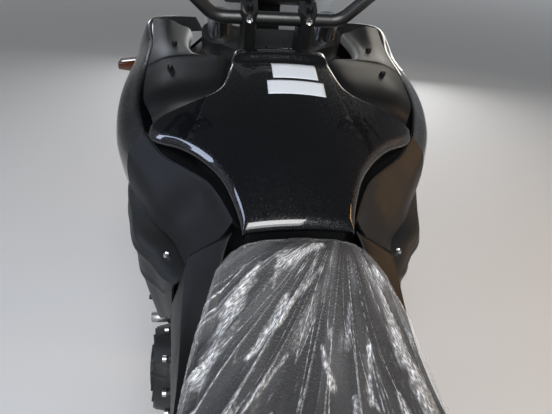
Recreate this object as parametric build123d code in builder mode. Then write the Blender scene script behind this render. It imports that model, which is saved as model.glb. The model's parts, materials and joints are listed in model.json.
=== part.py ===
from build123d import *
from math import asin, cos, hypot, pi, radians, sin, tan
import os

os.makedirs("parts", exist_ok=True)

# Whole motorcycle, millimetres: x forward, y to the rider's left, z up from the floor
seat_gap = 0.3
front_axle_x = 805.0
wheelbase = 1525.0
front_radius = 300.0
rear_radius = 312.0
stand_lift = 12.0
front_axle_z = front_radius
rear_axle_z = rear_radius + stand_lift
rear_axle_x = front_axle_x - wheelbase

# Steering: the axis leans back by the rake and meets the floor one trail ahead of the tyre's foot
rake = radians(27.0)
trail = 110.0
steer_foot_x = front_axle_x + trail
fork_offset = front_axle_z * sin(rake) - trail * cos(rake)
axle_up = front_axle_z * cos(rake) + trail * sin(rake)
fork_half = 98.0
slider_radius = 26.0
slider_length = 395.0
tube_radius = 20.5
lower_clamp_up = 930.0
top_clamp_up = 1127.0
clamp_thick = 34.0
stem_radius = 14.0
head_radius = 31.0

# Handlebar
bar_radius = 11.0
bar_clamp_half = 49.0
bar_up = top_clamp_up + 71.6
bar_back = 8.8
bar_half = 423.0

# Engine
crank_x, crank_z = 150.0, 420.0
engine_half = 180.0
gearbox_half = 85.0
gearbox_right = 112.0
cover_radius = 88.0
sprocket_x, sprocket_z = -80.0, 420.0
chain_y = 100.0
chain_half = 8.0
front_pitch_radius = 43.0
rear_pitch_radius = 108.0

# Swingarm and stands
pivot_x, pivot_z = -160.0, 400.0
arm_y = 135.0
plate_y = 118.0
plate_thick = 12.0
centre_pivot_x, centre_pivot_z = -190.0, 288.0
centre_leg_y = 102.0
centre_foot_y = 150.0
side_pivot = (-60.0, 168.0, 250.0)
side_tilt = radians(33.0)
side_length = 248.0

# Storage lid
lid_front = 316.0
hinge_x, hinge_z = lid_front - 6.0, 1001.0
hinge_pin_radius = 3.0
lid_wall = 4.0
lid_skirt = 14.0
panel_wall = 3.0


def keep(piece, name):
    """Label a finished piece and write it."""
    piece.part.label = name
    export_step(piece.part, "parts/" + name + ".step")


def steered(forward, left, up):
    """Point in the leaning steering frame, given as whole-motorcycle x, y, z."""
    x = steer_foot_x + forward * cos(rake) - up * sin(rake)
    return (x, left, forward * sin(rake) + up * cos(rake))


def steer_plane(up):
    """Plane square to the steering axis at a height along it."""
    return Plane(
        origin=steered(0, 0, up), x_dir=(cos(rake), 0, sin(rake)), z_dir=(-sin(rake), 0, cos(rake))
    )


def bar(points, radius, bend=0.0, mode=Mode.ADD):
    """Round bar or tube along a path with rounded corners."""
    with BuildLine() as path:
        if bend:
            FilletPolyline(*points, radius=bend)
        else:
            Polyline(*points)
    with BuildSketch(Plane(origin=path.line @ 0, z_dir=path.line % 0)) as round_section:
        Circle(radius)
    sweep(sections=round_section.sketch, path=path.line, mode=mode)


def cross_bar(x, z, radius, y_from, y_to, mode=Mode.ADD):
    """Round bar across the motorcycle between two sideways places."""
    with BuildSketch(Plane(origin=(x, y_to, z), z_dir=(0, -1, 0))) as round_section:
        Circle(radius)
    extrude(to_extrude=round_section.sketch, amount=y_to - y_from, mode=mode)


def side_plate(outline, y_from, y_to, mode=Mode.ADD):
    """Flat plate with an outline in x and z, between two sideways places."""
    with BuildSketch(Plane(origin=(0, y_to, 0), x_dir=(1, 0, 0), z_dir=(0, -1, 0))) as profile:
        with BuildLine():
            Polyline(*outline, close=True)
        make_face()
    extrude(to_extrude=profile.sketch, amount=y_to - y_from, mode=mode)


def inward(points, wall):
    """Copy of an open outline moved one wall to the right of its direction."""
    moved = []
    for index, (y, z) in enumerate(points):
        before = points[max(index - 1, 0)]
        after = points[min(index + 1, len(points) - 1)]
        along = (after[0] - before[0], after[1] - before[1])
        size = hypot(*along)
        moved.append((y + wall * along[1] / size, z - wall * along[0] / size))
    return moved


def skin(stations, wall, ruled=False):
    """Thin panel lofted through stations of x and an open outline in y and z."""
    sections = []
    for x, outline in stations:
        with BuildSketch(Plane.YZ.offset(x)) as section:
            with BuildLine():
                Polyline(*outline, *reversed(inward(outline, wall)), close=True)
            make_face()
        sections.append(section.sketch)
    loft(sections=sections, ruled=ruled)


def trimmed(outline, y_to=400.0):
    """Keep only what lies inside an outline in x and z."""
    side_plate(outline, -y_to, y_to, mode=Mode.INTERSECT)


# Wheels
# columns: name, axle x, axle z, tyre radius, tyre half width, bead half width, bead radius
wheels = [
    ("front", front_axle_x, front_axle_z, front_radius, 60.0, 44.0, 216.0),
    ("rear", rear_axle_x, rear_axle_z, rear_radius, 80.0, 62.0, 216.0),
]
# Crown of a tyre: share of the half width, share of the drop to the shoulder
crown_points = [(-1, 1), (-0.68, 0.34), (-0.2, 0.02), (0.2, 0.02), (0.68, 0.34), (1, 1)]
axle_radius = 11.0
axle_gap = 0.4
hub_radius = 34.0
hub_half = 50.0
spoke_count = 5
with BuildSketch() as spoke:
    with BuildLine():
        Polyline((28, -15), (88, -20), (194, -62), (202, -42), (106, 0), (202, 42), (194, 62), (88, 20),
                 (28, 15), close=True)
    make_face()
for name, axle_x, axle_z, radius, half, bead_half, bead in wheels:
    axle = Axis((axle_x, 0, axle_z), (0, 1, 0))
    section_plane = Plane(origin=(axle_x, 0, axle_z), x_dir=(0, 1, 0), z_dir=(1, 0, 0))
    shoulder = bead + 0.48 * (radius - bead)
    with BuildPart() as tyre:
        with BuildSketch(section_plane):
            with BuildLine():
                Line((-bead_half, bead), (-half, shoulder))
                Polyline(*[(half * across, radius - (radius - shoulder) * down)
                           for across, down in crown_points])
                Line((half, shoulder), (bead_half, bead))
                Line((bead_half, bead), (-bead_half, bead))
            make_face()
        revolve(axis=axle)
    keep(tyre, name + "_tyre")

    flange = bead_half + 4.5
    well = bead - 13.0
    with BuildPart() as rim:
        with BuildSketch(section_plane):
            with BuildLine():
                Polyline(
                    (-flange - 3.5, bead + 8), (-flange, bead + 8), (-flange, bead - seat_gap),
                    (-24, bead - seat_gap), (-19, well), (19, well), (24, bead - seat_gap),
                    (flange, bead - seat_gap), (flange, bead + 8), (flange + 3.5, bead + 8),
                    (flange, bead - 8), (30, bead - 12), (24, well - 8), (-24, well - 8),
                    (-30, bead - 12), (-flange, bead - 8), close=True,
                )
            make_face()
        revolve(axis=axle)
        with BuildSketch(Plane(origin=(axle_x, 0, axle_z), x_dir=(1, 0, 0), z_dir=(0, -1, 0))):
            with PolarLocations(0, spoke_count):
                add(spoke.sketch)
        extrude(amount=14, both=True)
        cross_bar(axle_x, axle_z, hub_radius, -hub_half, hub_half)
        cross_bar(axle_x, axle_z, axle_radius + axle_gap, -hub_half - 1, hub_half + 1, Mode.SUBTRACT)
    keep(rim, name + "_rim")

# Brake discs: name, axle x, axle z, disc radius, sideways places of the inner faces, thickness
discs = [
    ("front_discs", front_axle_x, front_axle_z, 160.0, (-1, 1), 5.0),
    ("rear_disc", rear_axle_x, rear_axle_z, 120.0, (-1,), 5.0),
]
disc_ring = 34.0
disc_eye = 26.0
for name, axle_x, axle_z, radius, sides, thick in discs:
    with BuildPart() as disc:
        for side in sides:
            inner = hub_half + seat_gap
            low, high = sorted((side * inner, side * (inner + thick)))
            with BuildSketch(Plane(origin=(axle_x, high, axle_z), x_dir=(1, 0, 0), z_dir=(0, -1, 0))) as face:
                Circle(radius)
                Circle(radius - disc_ring, mode=Mode.SUBTRACT)
                with PolarLocations(0.5 * (radius - disc_ring + disc_eye), 6):
                    Rectangle(radius - disc_ring - disc_eye + 6, 16)
                Circle(hub_radius - 4)
                Circle(axle_radius + 5, mode=Mode.SUBTRACT)
                with PolarLocations(radius - 0.5 * disc_ring, 18):
                    Circle(4, mode=Mode.SUBTRACT)
            extrude(to_extrude=face.sketch, amount=high - low)
    keep(disc, name)

# Axles
axle_end = fork_half + slider_radius + seat_gap
with BuildPart() as front_axle:
    cross_bar(front_axle_x, front_axle_z, axle_radius, -axle_end - 8, axle_end + 8)
    for end in (-axle_end - 8, axle_end):
        cross_bar(front_axle_x, front_axle_z, 15, end, end + 8)
    cross_bar(front_axle_x, front_axle_z, 7, -axle_end - 9, axle_end + 9, Mode.SUBTRACT)
keep(front_axle, "front_axle")

with BuildPart() as rear_axle:
    cross_bar(rear_axle_x, rear_axle_z, axle_radius, -arm_y - 26, arm_y + 26)
    for end in (-arm_y - 26, arm_y + 16):
        cross_bar(rear_axle_x, rear_axle_z, 17, end, end + 10)
keep(rear_axle, "rear_axle")

# Fork: sliders carry the axle, tubes run up through the clamps
tube_top = 1165.0
with BuildPart() as fork_legs:
    for side in (-1, 1):
        with BuildSketch(steer_plane(axle_up - 24)):
            with Locations((fork_offset, side * fork_half)):
                Circle(slider_radius)
        extrude(amount=slider_length)
        with BuildSketch(steer_plane(axle_up + slider_length - 24)):
            with Locations((fork_offset, side * fork_half)):
                Circle(tube_radius)
        extrude(amount=tube_top - axle_up - slider_length + 24)
    cross_bar(front_axle_x, front_axle_z, axle_radius + seat_gap, -200, 200, Mode.SUBTRACT)
keep(fork_legs, "fork_legs")

with BuildPart() as triple_clamps:
    for up in (lower_clamp_up, top_clamp_up - clamp_thick):
        with BuildSketch(steer_plane(up)):
            with BuildLine():
                Polyline(
                    (-24, -34), (fork_offset - 24, -fork_half - 14), (fork_offset + 26, -fork_half - 14),
                    (fork_offset + 12, -44), (fork_offset + 12, 44), (fork_offset + 26, fork_half + 14),
                    (fork_offset - 24, fork_half + 14), (-24, 34), close=True,
                )
            make_face()
            with Locations((fork_offset, -fork_half), (fork_offset, fork_half)):
                Circle(tube_radius + 11)
        extrude(amount=clamp_thick)
    with BuildSketch(steer_plane(lower_clamp_up)):
        Circle(stem_radius)
    extrude(amount=top_clamp_up - lower_clamp_up + 8)
    with BuildSketch(steer_plane(top_clamp_up)):
        for side in (-1, 1):
            middle = side * bar_clamp_half
            with BuildLine():
                Polyline((-bar_back - 19, middle - 7), (-bar_back - 6, middle - 14),
                         (-bar_back + 19, middle - 14), (-bar_back + 19, middle + 14),
                         (-bar_back - 6, middle + 14), (-bar_back - 19, middle + 7), close=True)
            make_face()
    extrude(amount=bar_up - top_clamp_up + 22)
    with BuildSketch(steer_plane(bar_up + 22)):
        for side in (-1, 1):
            with Locations((-bar_back - 13, side * bar_clamp_half), (-bar_back + 14, side * bar_clamp_half)):
                Circle(5)
    extrude(amount=5)
    bar([steered(-bar_back, -90, bar_up), steered(-bar_back, 90, bar_up)], bar_radius + seat_gap,
        mode=Mode.SUBTRACT)
    for side in (-1, 1):
        with BuildSketch(steer_plane(lower_clamp_up - 10)):
            with Locations((fork_offset, side * fork_half)):
                Circle(tube_radius + seat_gap)
        extrude(amount=top_clamp_up - lower_clamp_up + 20, mode=Mode.SUBTRACT)
keep(triple_clamps, "triple_clamps")

# Handlebar: straight between the clamps, then up, out and back to the grips
bar_centre = Vector(*steered(-bar_back, 0, bar_up))
bar_line = [tuple(bar_centre + step) for step in (
    Vector(-18, -182, 76), Vector(-61, -252, 104), Vector(-160, -bar_half, 98))]
bar_left = [(x, -y, z) for x, y, z in bar_line]
grip_radius = 16.0
with BuildPart() as handlebar:
    bar(
        bar_line[::-1] + [steered(-bar_back, -105, bar_up), steered(-bar_back, 105, bar_up)] + bar_left,
        bar_radius, bend=38,
    )
    for ends in (bar_line, bar_left):
        inner, outer = Vector(*ends[1]), Vector(*ends[2])
        along = (outer - inner).normalized()
        with BuildSketch(Plane(origin=outer, z_dir=inner - outer)) as grip:
            Circle(grip_radius)
        extrude(to_extrude=grip.sketch, amount=112)
        with BuildSketch(Plane(origin=outer + along * 0.5, z_dir=inner - outer)) as weight:
            Circle(18)
        extrude(to_extrude=weight.sketch, amount=14)
keep(handlebar, "handlebar")

# Levers, perches and switch housings
with BuildPart() as bar_controls:
    for ends in (bar_line, bar_left):
        inner, outer = Vector(*ends[1]), Vector(*ends[2])
        along = (outer - inner).normalized()
        side = 1 if outer.Y > 0 else -1
        with BuildSketch(Plane(origin=outer - along * 115, z_dir=inner - outer)) as switches:
            RectangleRounded(42, 40, 8)
            Circle(bar_radius + seat_gap, mode=Mode.SUBTRACT)
        extrude(to_extrude=switches.sketch, amount=30)
        with BuildSketch(Plane(origin=outer - along * 150, z_dir=inner - outer)) as clamp:
            Circle(20)
            Circle(bar_radius + seat_gap, mode=Mode.SUBTRACT)
        extrude(to_extrude=clamp.sketch, amount=26)
        root = outer - along * 160
        perch = root + Vector(34, 0, 6)
        bar([root + Vector(21, side * 2, 3), perch, perch + Vector(8, side * 34, -2),
             perch + Vector(-12, side * 134, -6)], 6.5, bend=8)
keep(bar_controls, "bar_controls")

# Mirrors
with BuildPart() as mirrors:
    for ends in (bar_line, bar_left):
        inner, outer = Vector(*ends[1]), Vector(*ends[2])
        along = (outer - inner).normalized()
        side = 1 if outer.Y > 0 else -1
        root = outer - along * 163 + Vector(0, 0, 20 + seat_gap)
        head = root + Vector(54, side * 77.6, 100)
        bar([root, root + Vector(0, 0, 22), head + Vector(4, 0, -34), head], 5.5, bend=10)
        # the shell's rear half flares towards the glass, its front half rounds off
        for facing, depth, taper in ((-1, 14, -14), (1, 26, 34)):
            with BuildSketch(Plane(origin=head, x_dir=(0.18, side, 0.02),
                                   z_dir=(facing, -0.18 * side * facing, 0.1 * facing))) as shell:
                RectangleRounded(150, 86, 26)
            extrude(to_extrude=shell.sketch, amount=depth, taper=taper)
keep(mirrors, "mirrors")

# Front fender: an arched shell over the tyre, held to both sliders
fender_radius = front_radius + 20
with BuildPart() as front_fender:
    fender_plane = Plane(origin=(front_axle_x, 0, front_axle_z), x_dir=(0, 1, 0), z_dir=(1, 0, 0))
    with BuildSketch(fender_plane) as arch:
        with BuildLine():
            ThreePointArc((-67, fender_radius - 40), (0, fender_radius + 3), (67, fender_radius - 40))
            Line((67, fender_radius - 40), (63, fender_radius - 40))
            ThreePointArc((63, fender_radius - 40), (0, fender_radius - 1), (-63, fender_radius - 40))
            Line((-63, fender_radius - 40), (-67, fender_radius - 40))
        make_face()
    fender_axle = Axis((front_axle_x, 0, front_axle_z), (0, 1, 0))
    revolve(arch.sketch.rotate(fender_axle, -62), axis=fender_axle, revolution_arc=108)
    for side in (-1, 1):
        lug = steered(fork_offset - 22, 0, axle_up + 285)
        low, high = sorted((side * 63.5, side * (fork_half - 10)))
        with BuildSketch(Plane(origin=(0, high, 0), x_dir=(1, 0, 0), z_dir=(0, -1, 0))) as tab:
            with Locations((lug[0], lug[2])):
                Rectangle(60, 44)
        extrude(to_extrude=tab.sketch, amount=high - low)
        with BuildSketch(steer_plane(axle_up - 20)) as leg:
            with Locations((fork_offset, side * fork_half)):
                Circle(slider_radius + seat_gap)
        extrude(to_extrude=leg.sketch, amount=slider_length, mode=Mode.SUBTRACT)
keep(front_fender, "front_fender")

# Front calipers straddle the discs behind the sliders
pad_gap = 1.5
with BuildPart() as front_brake_calipers:
    for side in (-1, 1):
        disc_in = hub_half + seat_gap
        low, high = sorted((side * (disc_in - 20), side * (fork_half - 14)))
        with BuildSketch(Plane(origin=(front_axle_x, high, front_axle_z), x_dir=(1, 0, 0),
                               z_dir=(0, -1, 0))) as body:
            with PolarLocations(140, 1, start_angle=150):
                RectangleRounded(58, 96, 10)
        extrude(to_extrude=body.sketch, amount=high - low)
        side_plate([(690, 360), (690, 404), (738, 404), (760, 376), (766, 350)],
                   *sorted((side * (disc_in + 10), side * (fork_half - 12))))
        low, high = sorted((side * (disc_in - pad_gap), side * (disc_in + 5 + pad_gap)))
        cross_bar(front_axle_x, front_axle_z, 164, low, high, Mode.SUBTRACT)
        low, high = sorted((side * (disc_in + 5 + pad_gap), side * (fork_half + 1)))
        with BuildSketch(steer_plane(axle_up - 24)) as leg:
            with Locations((fork_offset, side * fork_half)):
                Circle(slider_radius + seat_gap)
        extrude(to_extrude=leg.sketch, amount=slider_length, mode=Mode.SUBTRACT)
keep(front_brake_calipers, "front_brake_calipers")

# Cylinders lean far forward
lean = radians(62.0)
cylinder_plane = Plane(origin=(crank_x, 0, crank_z), x_dir=(0, 1, 0), z_dir=(sin(lean), 0, cos(lean)))
# columns: start along the cylinders, height, half width, half depth
cylinder_steps = [(96, 80, 150, 74), (176, 76, 160, 80), (252, 40, 148, 62), (292, 14, 130, 46)]

# Frame: headstock, two main tubes to the pivot plates, two hanger tubes to the engine
frame_tube = 19.0
hanger_tube = 15.0


def main_tube(side, radius, mode=Mode.ADD):
    """Main tube from the headstock round the storage box to the pivot plate."""
    bar([steered(-16, side * 14, top_clamp_up - 77), (330, side * 150, 850), (150, side * 164, 690),
         (-60, side * 150, 560), (-130, side * 124, 500)], radius, bend=50, mode=mode)


def hanger(side, radius, mode=Mode.ADD):
    """Tube from the headstock down to the cylinder head."""
    bar([steered(-14, side * 12, lower_clamp_up + 75), (380, side * 66, 790), (324, side * 100, 590)], radius,
        bend=40, mode=mode)


with BuildPart() as main_frame:
    with BuildSketch(steer_plane(lower_clamp_up + clamp_thick + 2)):
        Circle(head_radius)
    extrude(amount=top_clamp_up - lower_clamp_up - 2 * clamp_thick - 4)
    for side in (-1, 1):
        main_tube(side, frame_tube)
        hanger(side, hanger_tube)
        low, high = sorted((side * plate_y, side * (plate_y + plate_thick)))
        side_plate([(-222, 262), (-130, 262), (-96, 300), (-96, 470), (-70, 540), (-130, 560),
                    (-215, 500), (-215, 380)], low, high)
        cross_bar(-187, 446, 13, low, high, Mode.SUBTRACT)
        # stay under the inner cowl
        bar([(330, side * 150, 862), (330, side * 150, 998.2)], 6)
    # mounts of the gearbox on the pivot plates
    cross_bar(-108, 300, 12, gearbox_half + seat_gap, plate_y + 1)
    cross_bar(-108, 300, 12, -plate_y - 1, -gearbox_right - seat_gap)
    cross_bar(-150, 520, 17, -plate_y - 4, plate_y + 4)
    for start, height, half_width, half_depth in cylinder_steps:
        with BuildSketch(cylinder_plane.offset(start - seat_gap)):
            Rectangle(2 * (half_width + seat_gap), 2 * (half_depth + seat_gap))
        extrude(amount=height + 2 * seat_gap, mode=Mode.SUBTRACT)
    with BuildSketch(steer_plane(lower_clamp_up)):
        Circle(stem_radius + 1)
    extrude(amount=top_clamp_up - lower_clamp_up, mode=Mode.SUBTRACT)
    cross_bar(pivot_x, pivot_z, 10 + seat_gap, -200, 200, Mode.SUBTRACT)
    cross_bar(centre_pivot_x, centre_pivot_z, 6 + seat_gap, -200, 200, Mode.SUBTRACT)
keep(main_frame, "main_frame")

# Seat subframe: rails from the main tubes to the tail, braces from the pivot plates
rail_end = -880.0
with BuildPart() as seat_subframe:
    for side in (-1, 1):
        bar([(90, side * 131, 645), (-60, side * 128, 690), (-180, side * 124, 742),
             (-520, side * 104, 772), (rail_end, side * 54, 818)], 12, bend=40)
        bar([(-168, side * (plate_y + plate_thick + 10.3), 504), (-236, side * 139, 552),
             (-420, side * 112, 690), (-600, side * 101, 786)], 10, bend=30)
        main_tube(side, frame_tube + seat_gap, Mode.SUBTRACT)
    for x, z, reach in ((-300, 754, 116), (-660, 790, 90)):
        cross_bar(x, z, 9, -reach, reach)
    # rests of the pillion seat
    for side in (-1, 1):
        bar([(-660, side * 46, 792), (-660, side * 46, 840.6)], 9)
keep(seat_subframe, "seat_subframe")

# Swingarm: pivot tube between the plates, a cross member between the chain's two runs, two arms
with BuildPart() as swingarm:
    cross_bar(pivot_x, pivot_z, 27, -plate_y + 4, plate_y - 4)
    side_plate([(-160, 372), (-160, 427), (-300, 425), (-300, 362)], -84, 84)
    side_plate([(-238, 366), (-238, 427), (-306, 424), (-306, 358)], -arm_y - 15, arm_y + 15)
    for side in (-1, 1):
        low, high = sorted((side * (arm_y - 15), side * (arm_y + 15)))
        side_plate([(-240, 428), (-240, 366), (-640, 292), (rear_axle_x - 42, rear_axle_z - 26),
                    (rear_axle_x - 42, rear_axle_z + 26), (-640, 358), (-420, 404)], low, high)
        # pressed pocket in the outer face
        low, high = sorted((side * (arm_y + 11), side * (arm_y + 16)))
        side_plate([(-320, 400), (-320, 370), (-600, 316), (-634, 330), (-620, 344), (-430, 386)], low, high,
                   Mode.SUBTRACT)
    cross_bar(pivot_x, pivot_z, 10 + seat_gap, -200, 200, Mode.SUBTRACT)
    cross_bar(rear_axle_x, rear_axle_z, axle_radius + seat_gap, -300, 300, Mode.SUBTRACT)
keep(swingarm, "swingarm")

with BuildPart() as pivot_bolt:
    cross_bar(pivot_x, pivot_z, 10, -plate_y - plate_thick - 8, plate_y + plate_thick + 8)
    for end in (-plate_y - plate_thick - 10, plate_y + plate_thick + seat_gap):
        cross_bar(pivot_x, pivot_z, 17, end, end + 10 - seat_gap)
keep(pivot_bolt, "pivot_bolt")

# Shock absorber between the swingarm's bridge and the frame
with BuildPart() as shock_absorber:
    foot, top = Vector(-232, 0, 428), Vector(-178, 0, 640)
    along = (top - foot).normalized()
    bar([foot + along * 2, top], 12)
    for step in range(7):
        with BuildSketch(Plane(origin=foot + along * (58 + 18 * step), z_dir=along)) as coil:
            Circle(36)
            Circle(25, mode=Mode.SUBTRACT)
        extrude(to_extrude=coil.sketch, amount=9)
    with BuildSketch(Plane(origin=foot + along * 50, z_dir=along)) as plate:
        Circle(37)
    extrude(to_extrude=plate.sketch, amount=8.5)
    with BuildSketch(Plane(origin=foot + along * 66, z_dir=along)) as body:
        Circle(25.5)
    extrude(to_extrude=body.sketch, amount=118)
keep(shock_absorber, "shock_absorber")

# Engine: crankcase with the gearbox behind, twin cylinders leaning far forward
with BuildPart() as crankcase:
    side_plate([(-20, 262), (-20, 520), (130, 545), (215, 560), (262, 470), (285, 330), (215, 256),
                (30, 250)], -engine_half, engine_half)
    side_plate([(-126, 300), (-126, 470), (-96, 500), (-19, 520), (-19, 262), (-90, 260)],
               -gearbox_right, gearbox_half)
    side_plate([(40, 250.5), (205, 257), (190, 222), (60, 216)], -80, 100)
    fillet(crankcase.edges().filter_by(Axis.Y).group_by(Axis.Z)[-1], 12)
    # oil filter between the header pipes
    with BuildSketch(Plane(origin=(270, 0, 330), z_dir=(1, 0, 0))):
        Circle(26)
    extrude(amount=64)
    with BuildSketch(Plane(origin=(334, 0, 330), z_dir=(1, 0, 0))):
        RegularPolygon(11, 6)
    extrude(amount=9)
keep(crankcase, "crankcase")

with BuildPart() as cylinder_block:
    for start, height, half_width, half_depth in cylinder_steps:
        with BuildSketch(cylinder_plane.offset(start)):
            RectangleRounded(2 * half_width, 2 * half_depth, 14)
        extrude(amount=height)
    for rib in range(5):
        with BuildSketch(cylinder_plane.offset(116 + 11 * rib)):
            Rectangle(310, 160)
            Rectangle(294, 142, mode=Mode.SUBTRACT)
        extrude(amount=5, mode=Mode.SUBTRACT)
    with BuildSketch(cylinder_plane.offset(306)):
        with GridLocations(104, 66, 3, 2):
            RegularPolygon(7, 6)
        with Locations((-48, 0), (48, 0)):
            Circle(15)
    extrude(amount=6)
    side_plate([(-20, 262), (-20, 520), (130, 545), (215, 560), (262, 470), (285, 330), (215, 256),
                (30, 250)], -engine_half - 1, engine_half + 1, mode=Mode.SUBTRACT)
keep(cylinder_block, "cylinder_block")

# Round covers: name, centre x, centre z, radius, side, depth, boss radius, boss depth, bolts
covers = [
    ("alternator_cover", 155.0, 448.0, cover_radius, 1, 40.0, 46.0, 9.0, 9),
    ("clutch_cover", 78.0, 402.0, 98.0, -1, 42.0, 72.0, 10.0, 10),
]
for name, x, z, radius, side, depth, boss, boss_depth, bolts in covers:
    face = side * (engine_half + seat_gap)
    out = Plane(origin=(x, face, z), x_dir=(1, 0, 0), z_dir=(0, side, 0))
    with BuildPart() as cover:
        with BuildSketch(out):
            Circle(radius)
            with PolarLocations(radius, bolts):
                Circle(9)
        extrude(amount=10)
        with BuildSketch(out.offset(10)):
            Circle(radius - 4)
        extrude(amount=depth - 10, taper=12)
        with BuildSketch(out.offset(depth)):
            Circle(boss)
        extrude(amount=boss_depth, taper=10)
        with BuildSketch(out.offset(10)):
            with PolarLocations(radius, bolts):
                RegularPolygon(5.5, 6)
        extrude(amount=5)
        rim_radius = radius - 4 - (depth - 10) * tan(radians(12)) - 3
        with BuildSketch(out.offset(depth - 1)):
            with PolarLocations(0.5 * (boss + rim_radius), 2 * bolts):
                Rectangle(rim_radius - boss + 4, 4)
        extrude(amount=5)
    keep(cover, name)

with BuildPart() as sprocket_cover:
    side_plate([(-128, 458), (-100, 482), (-20.3, 482), (-20.3, 350), (-60, 348), (-118, 356)], 134, 160)
    chamfer(sprocket_cover.faces().sort_by(Axis.Y)[-1].edges(), 6)
    with BuildSketch(Plane(origin=(-72, 170, 416), x_dir=(1, 0, 0), z_dir=(0, -1, 0))):
        with GridLocations(0, 20, 1, 4):
            SlotOverall(58, 9)
    extrude(amount=40, mode=Mode.SUBTRACT)
keep(sprocket_cover, "sprocket_cover")

# Radiator, tilted with the steering, with side tanks and a fan ring behind
radiator_centre = Vector(448, 0, 640)
radiator_plane = Plane(origin=radiator_centre, x_dir=(0, 1, 0), z_dir=(0.97, 0, 0.22))
with BuildPart() as radiator:
    with BuildSketch(radiator_plane):
        Rectangle(240, 236)
    extrude(amount=26)
    with BuildSketch(radiator_plane.offset(-3)):
        with Locations((-138, 0), (138, 0)):
            RectangleRounded(36, 246, 8)
    extrude(amount=34)
    with BuildSketch(radiator_plane):
        Circle(92)
        Circle(84, mode=Mode.SUBTRACT)
        Rectangle(176, 8)
        Rectangle(8, 176)
        Circle(26)
    extrude(amount=-24)
    with BuildSketch(radiator_plane.offset(26)):
        with GridLocations(0, 15, 1, 15):
            Rectangle(228, 9)
    extrude(amount=-6, mode=Mode.SUBTRACT)
    for side in (-1, 1):
        bar([(430, side * 128, 716), (356, side * 88, 700)], 9)
        hanger(side, hanger_tube + seat_gap, Mode.SUBTRACT)
keep(radiator, "radiator")

# Exhaust: two pipes from under the head into a box beneath the engine, then out to the right
silencer_start, silencer_end = Vector(-300, -198, 342), Vector(-770, -216, 452)
silencer_along = (silencer_end - silencer_start).normalized()
port_out = Vector(16.4, 0, -30.8).normalized()
with BuildPart() as exhaust_pipes:
    for side in (-1, 1):
        bar([(377.6, side * 48, 449.8), (394, side * 48, 419), (372, side * 46, 300),
             (300, side * 40, 204), (120, side * 34, 190)], 18, bend=32)
        with BuildSketch(Plane(origin=(377.6, side * 48, 449.8), x_dir=(0, 1, 0), z_dir=port_out)) as flange:
            RectangleRounded(72, 44, 14)
            with Locations((-27, 0), (27, 0)):
                Circle(4.5, mode=Mode.SUBTRACT)
        extrude(to_extrude=flange.sketch, amount=9)
    with BuildSketch(Plane.XY.offset(164)):
        with Locations((40, -8)):
            RectangleRounded(230, 150, 30)
    extrude(amount=51.7)
    bar([(-60, -50, 196), (-118, -150, 240), silencer_start - silencer_along * 60, silencer_start], 19,
        bend=34)
keep(exhaust_pipes, "exhaust_pipes")

with BuildPart() as silencer:
    # columns: distance along, width, height, corner radius
    sections = []
    for distance, width, height, corner in (
        (seat_gap, 42, 42, 20), (90, 84, 104, 28), (400, 92, 118, 30), (470, 76, 96, 24),
    ):
        with BuildSketch(Plane(origin=silencer_start + silencer_along * distance,
                               x_dir=(0, 1, 0), z_dir=silencer_along)) as ring:
            RectangleRounded(width, height, corner)
        sections.append(ring.sketch)
    loft(sections=sections, ruled=True)
    with BuildSketch(Plane(origin=silencer_start + silencer_along * 478, z_dir=-silencer_along)):
        Circle(20)
    extrude(amount=10)
    with BuildSketch(Plane(origin=silencer_start + silencer_along * 480, z_dir=-silencer_along)):
        Circle(16)
    extrude(amount=60, mode=Mode.SUBTRACT)
keep(silencer, "silencer")


# Chain and sprockets
chain_pitch = 15.875
link_waist = 5.5


def chain_outline(grow, waist):
    """Closed outline of the chain's run: full over each pin, drawn in between two pins."""
    front, rear = Vector(sprocket_x, sprocket_z), Vector(rear_axle_x, rear_axle_z)
    span = rear - front
    along = span.normalized()
    across = Vector(-along.Y, along.X)
    drop = asin((rear_pitch_radius - front_pitch_radius) / span.length)
    straight = span.length * cos(drop)
    front_arc = front_pitch_radius * (pi - 2 * drop)
    rear_arc = rear_pitch_radius * (pi + 2 * drop)
    total = 2 * straight + front_arc + rear_arc
    halves = 4 * round(total / chain_pitch / 2)
    points = []
    for step in range(halves):
        distance = total * step / halves
        reach = grow if step % 2 == 0 else waist
        if distance < straight:
            centre, radius, angle, slide = front, front_pitch_radius, pi / 2 + drop, distance
        elif distance < straight + rear_arc:
            centre, radius, slide = rear, rear_pitch_radius, 0.0
            angle = pi / 2 + drop - (distance - straight) / rear_pitch_radius
        elif distance < 2 * straight + rear_arc:
            centre, radius, angle = rear, rear_pitch_radius, -pi / 2 - drop
            slide = distance - straight - rear_arc
        else:
            centre, radius, slide = front, front_pitch_radius, 0.0
            angle = -pi / 2 - drop - (distance - 2 * straight - rear_arc) / front_pitch_radius
        normal = along * cos(angle) + across * sin(angle)
        run = along * cos(angle - pi / 2) + across * sin(angle - pi / 2)
        place = centre + normal * (radius + reach) + run * slide
        points.append((place.X, place.Y))
    return points


with BuildPart() as chain:
    with BuildSketch(Plane(origin=(0, chain_y + chain_half, 0), x_dir=(1, 0, 0), z_dir=(0, -1, 0))):
        with BuildLine():
            Polyline(*chain_outline(chain_half, link_waist), close=True)
        make_face()
        with BuildLine():
            Polyline(*chain_outline(-chain_half, seat_gap - chain_half), close=True)
        make_face(mode=Mode.SUBTRACT)
    extrude(amount=2 * chain_half)
keep(chain, "chain")

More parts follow.
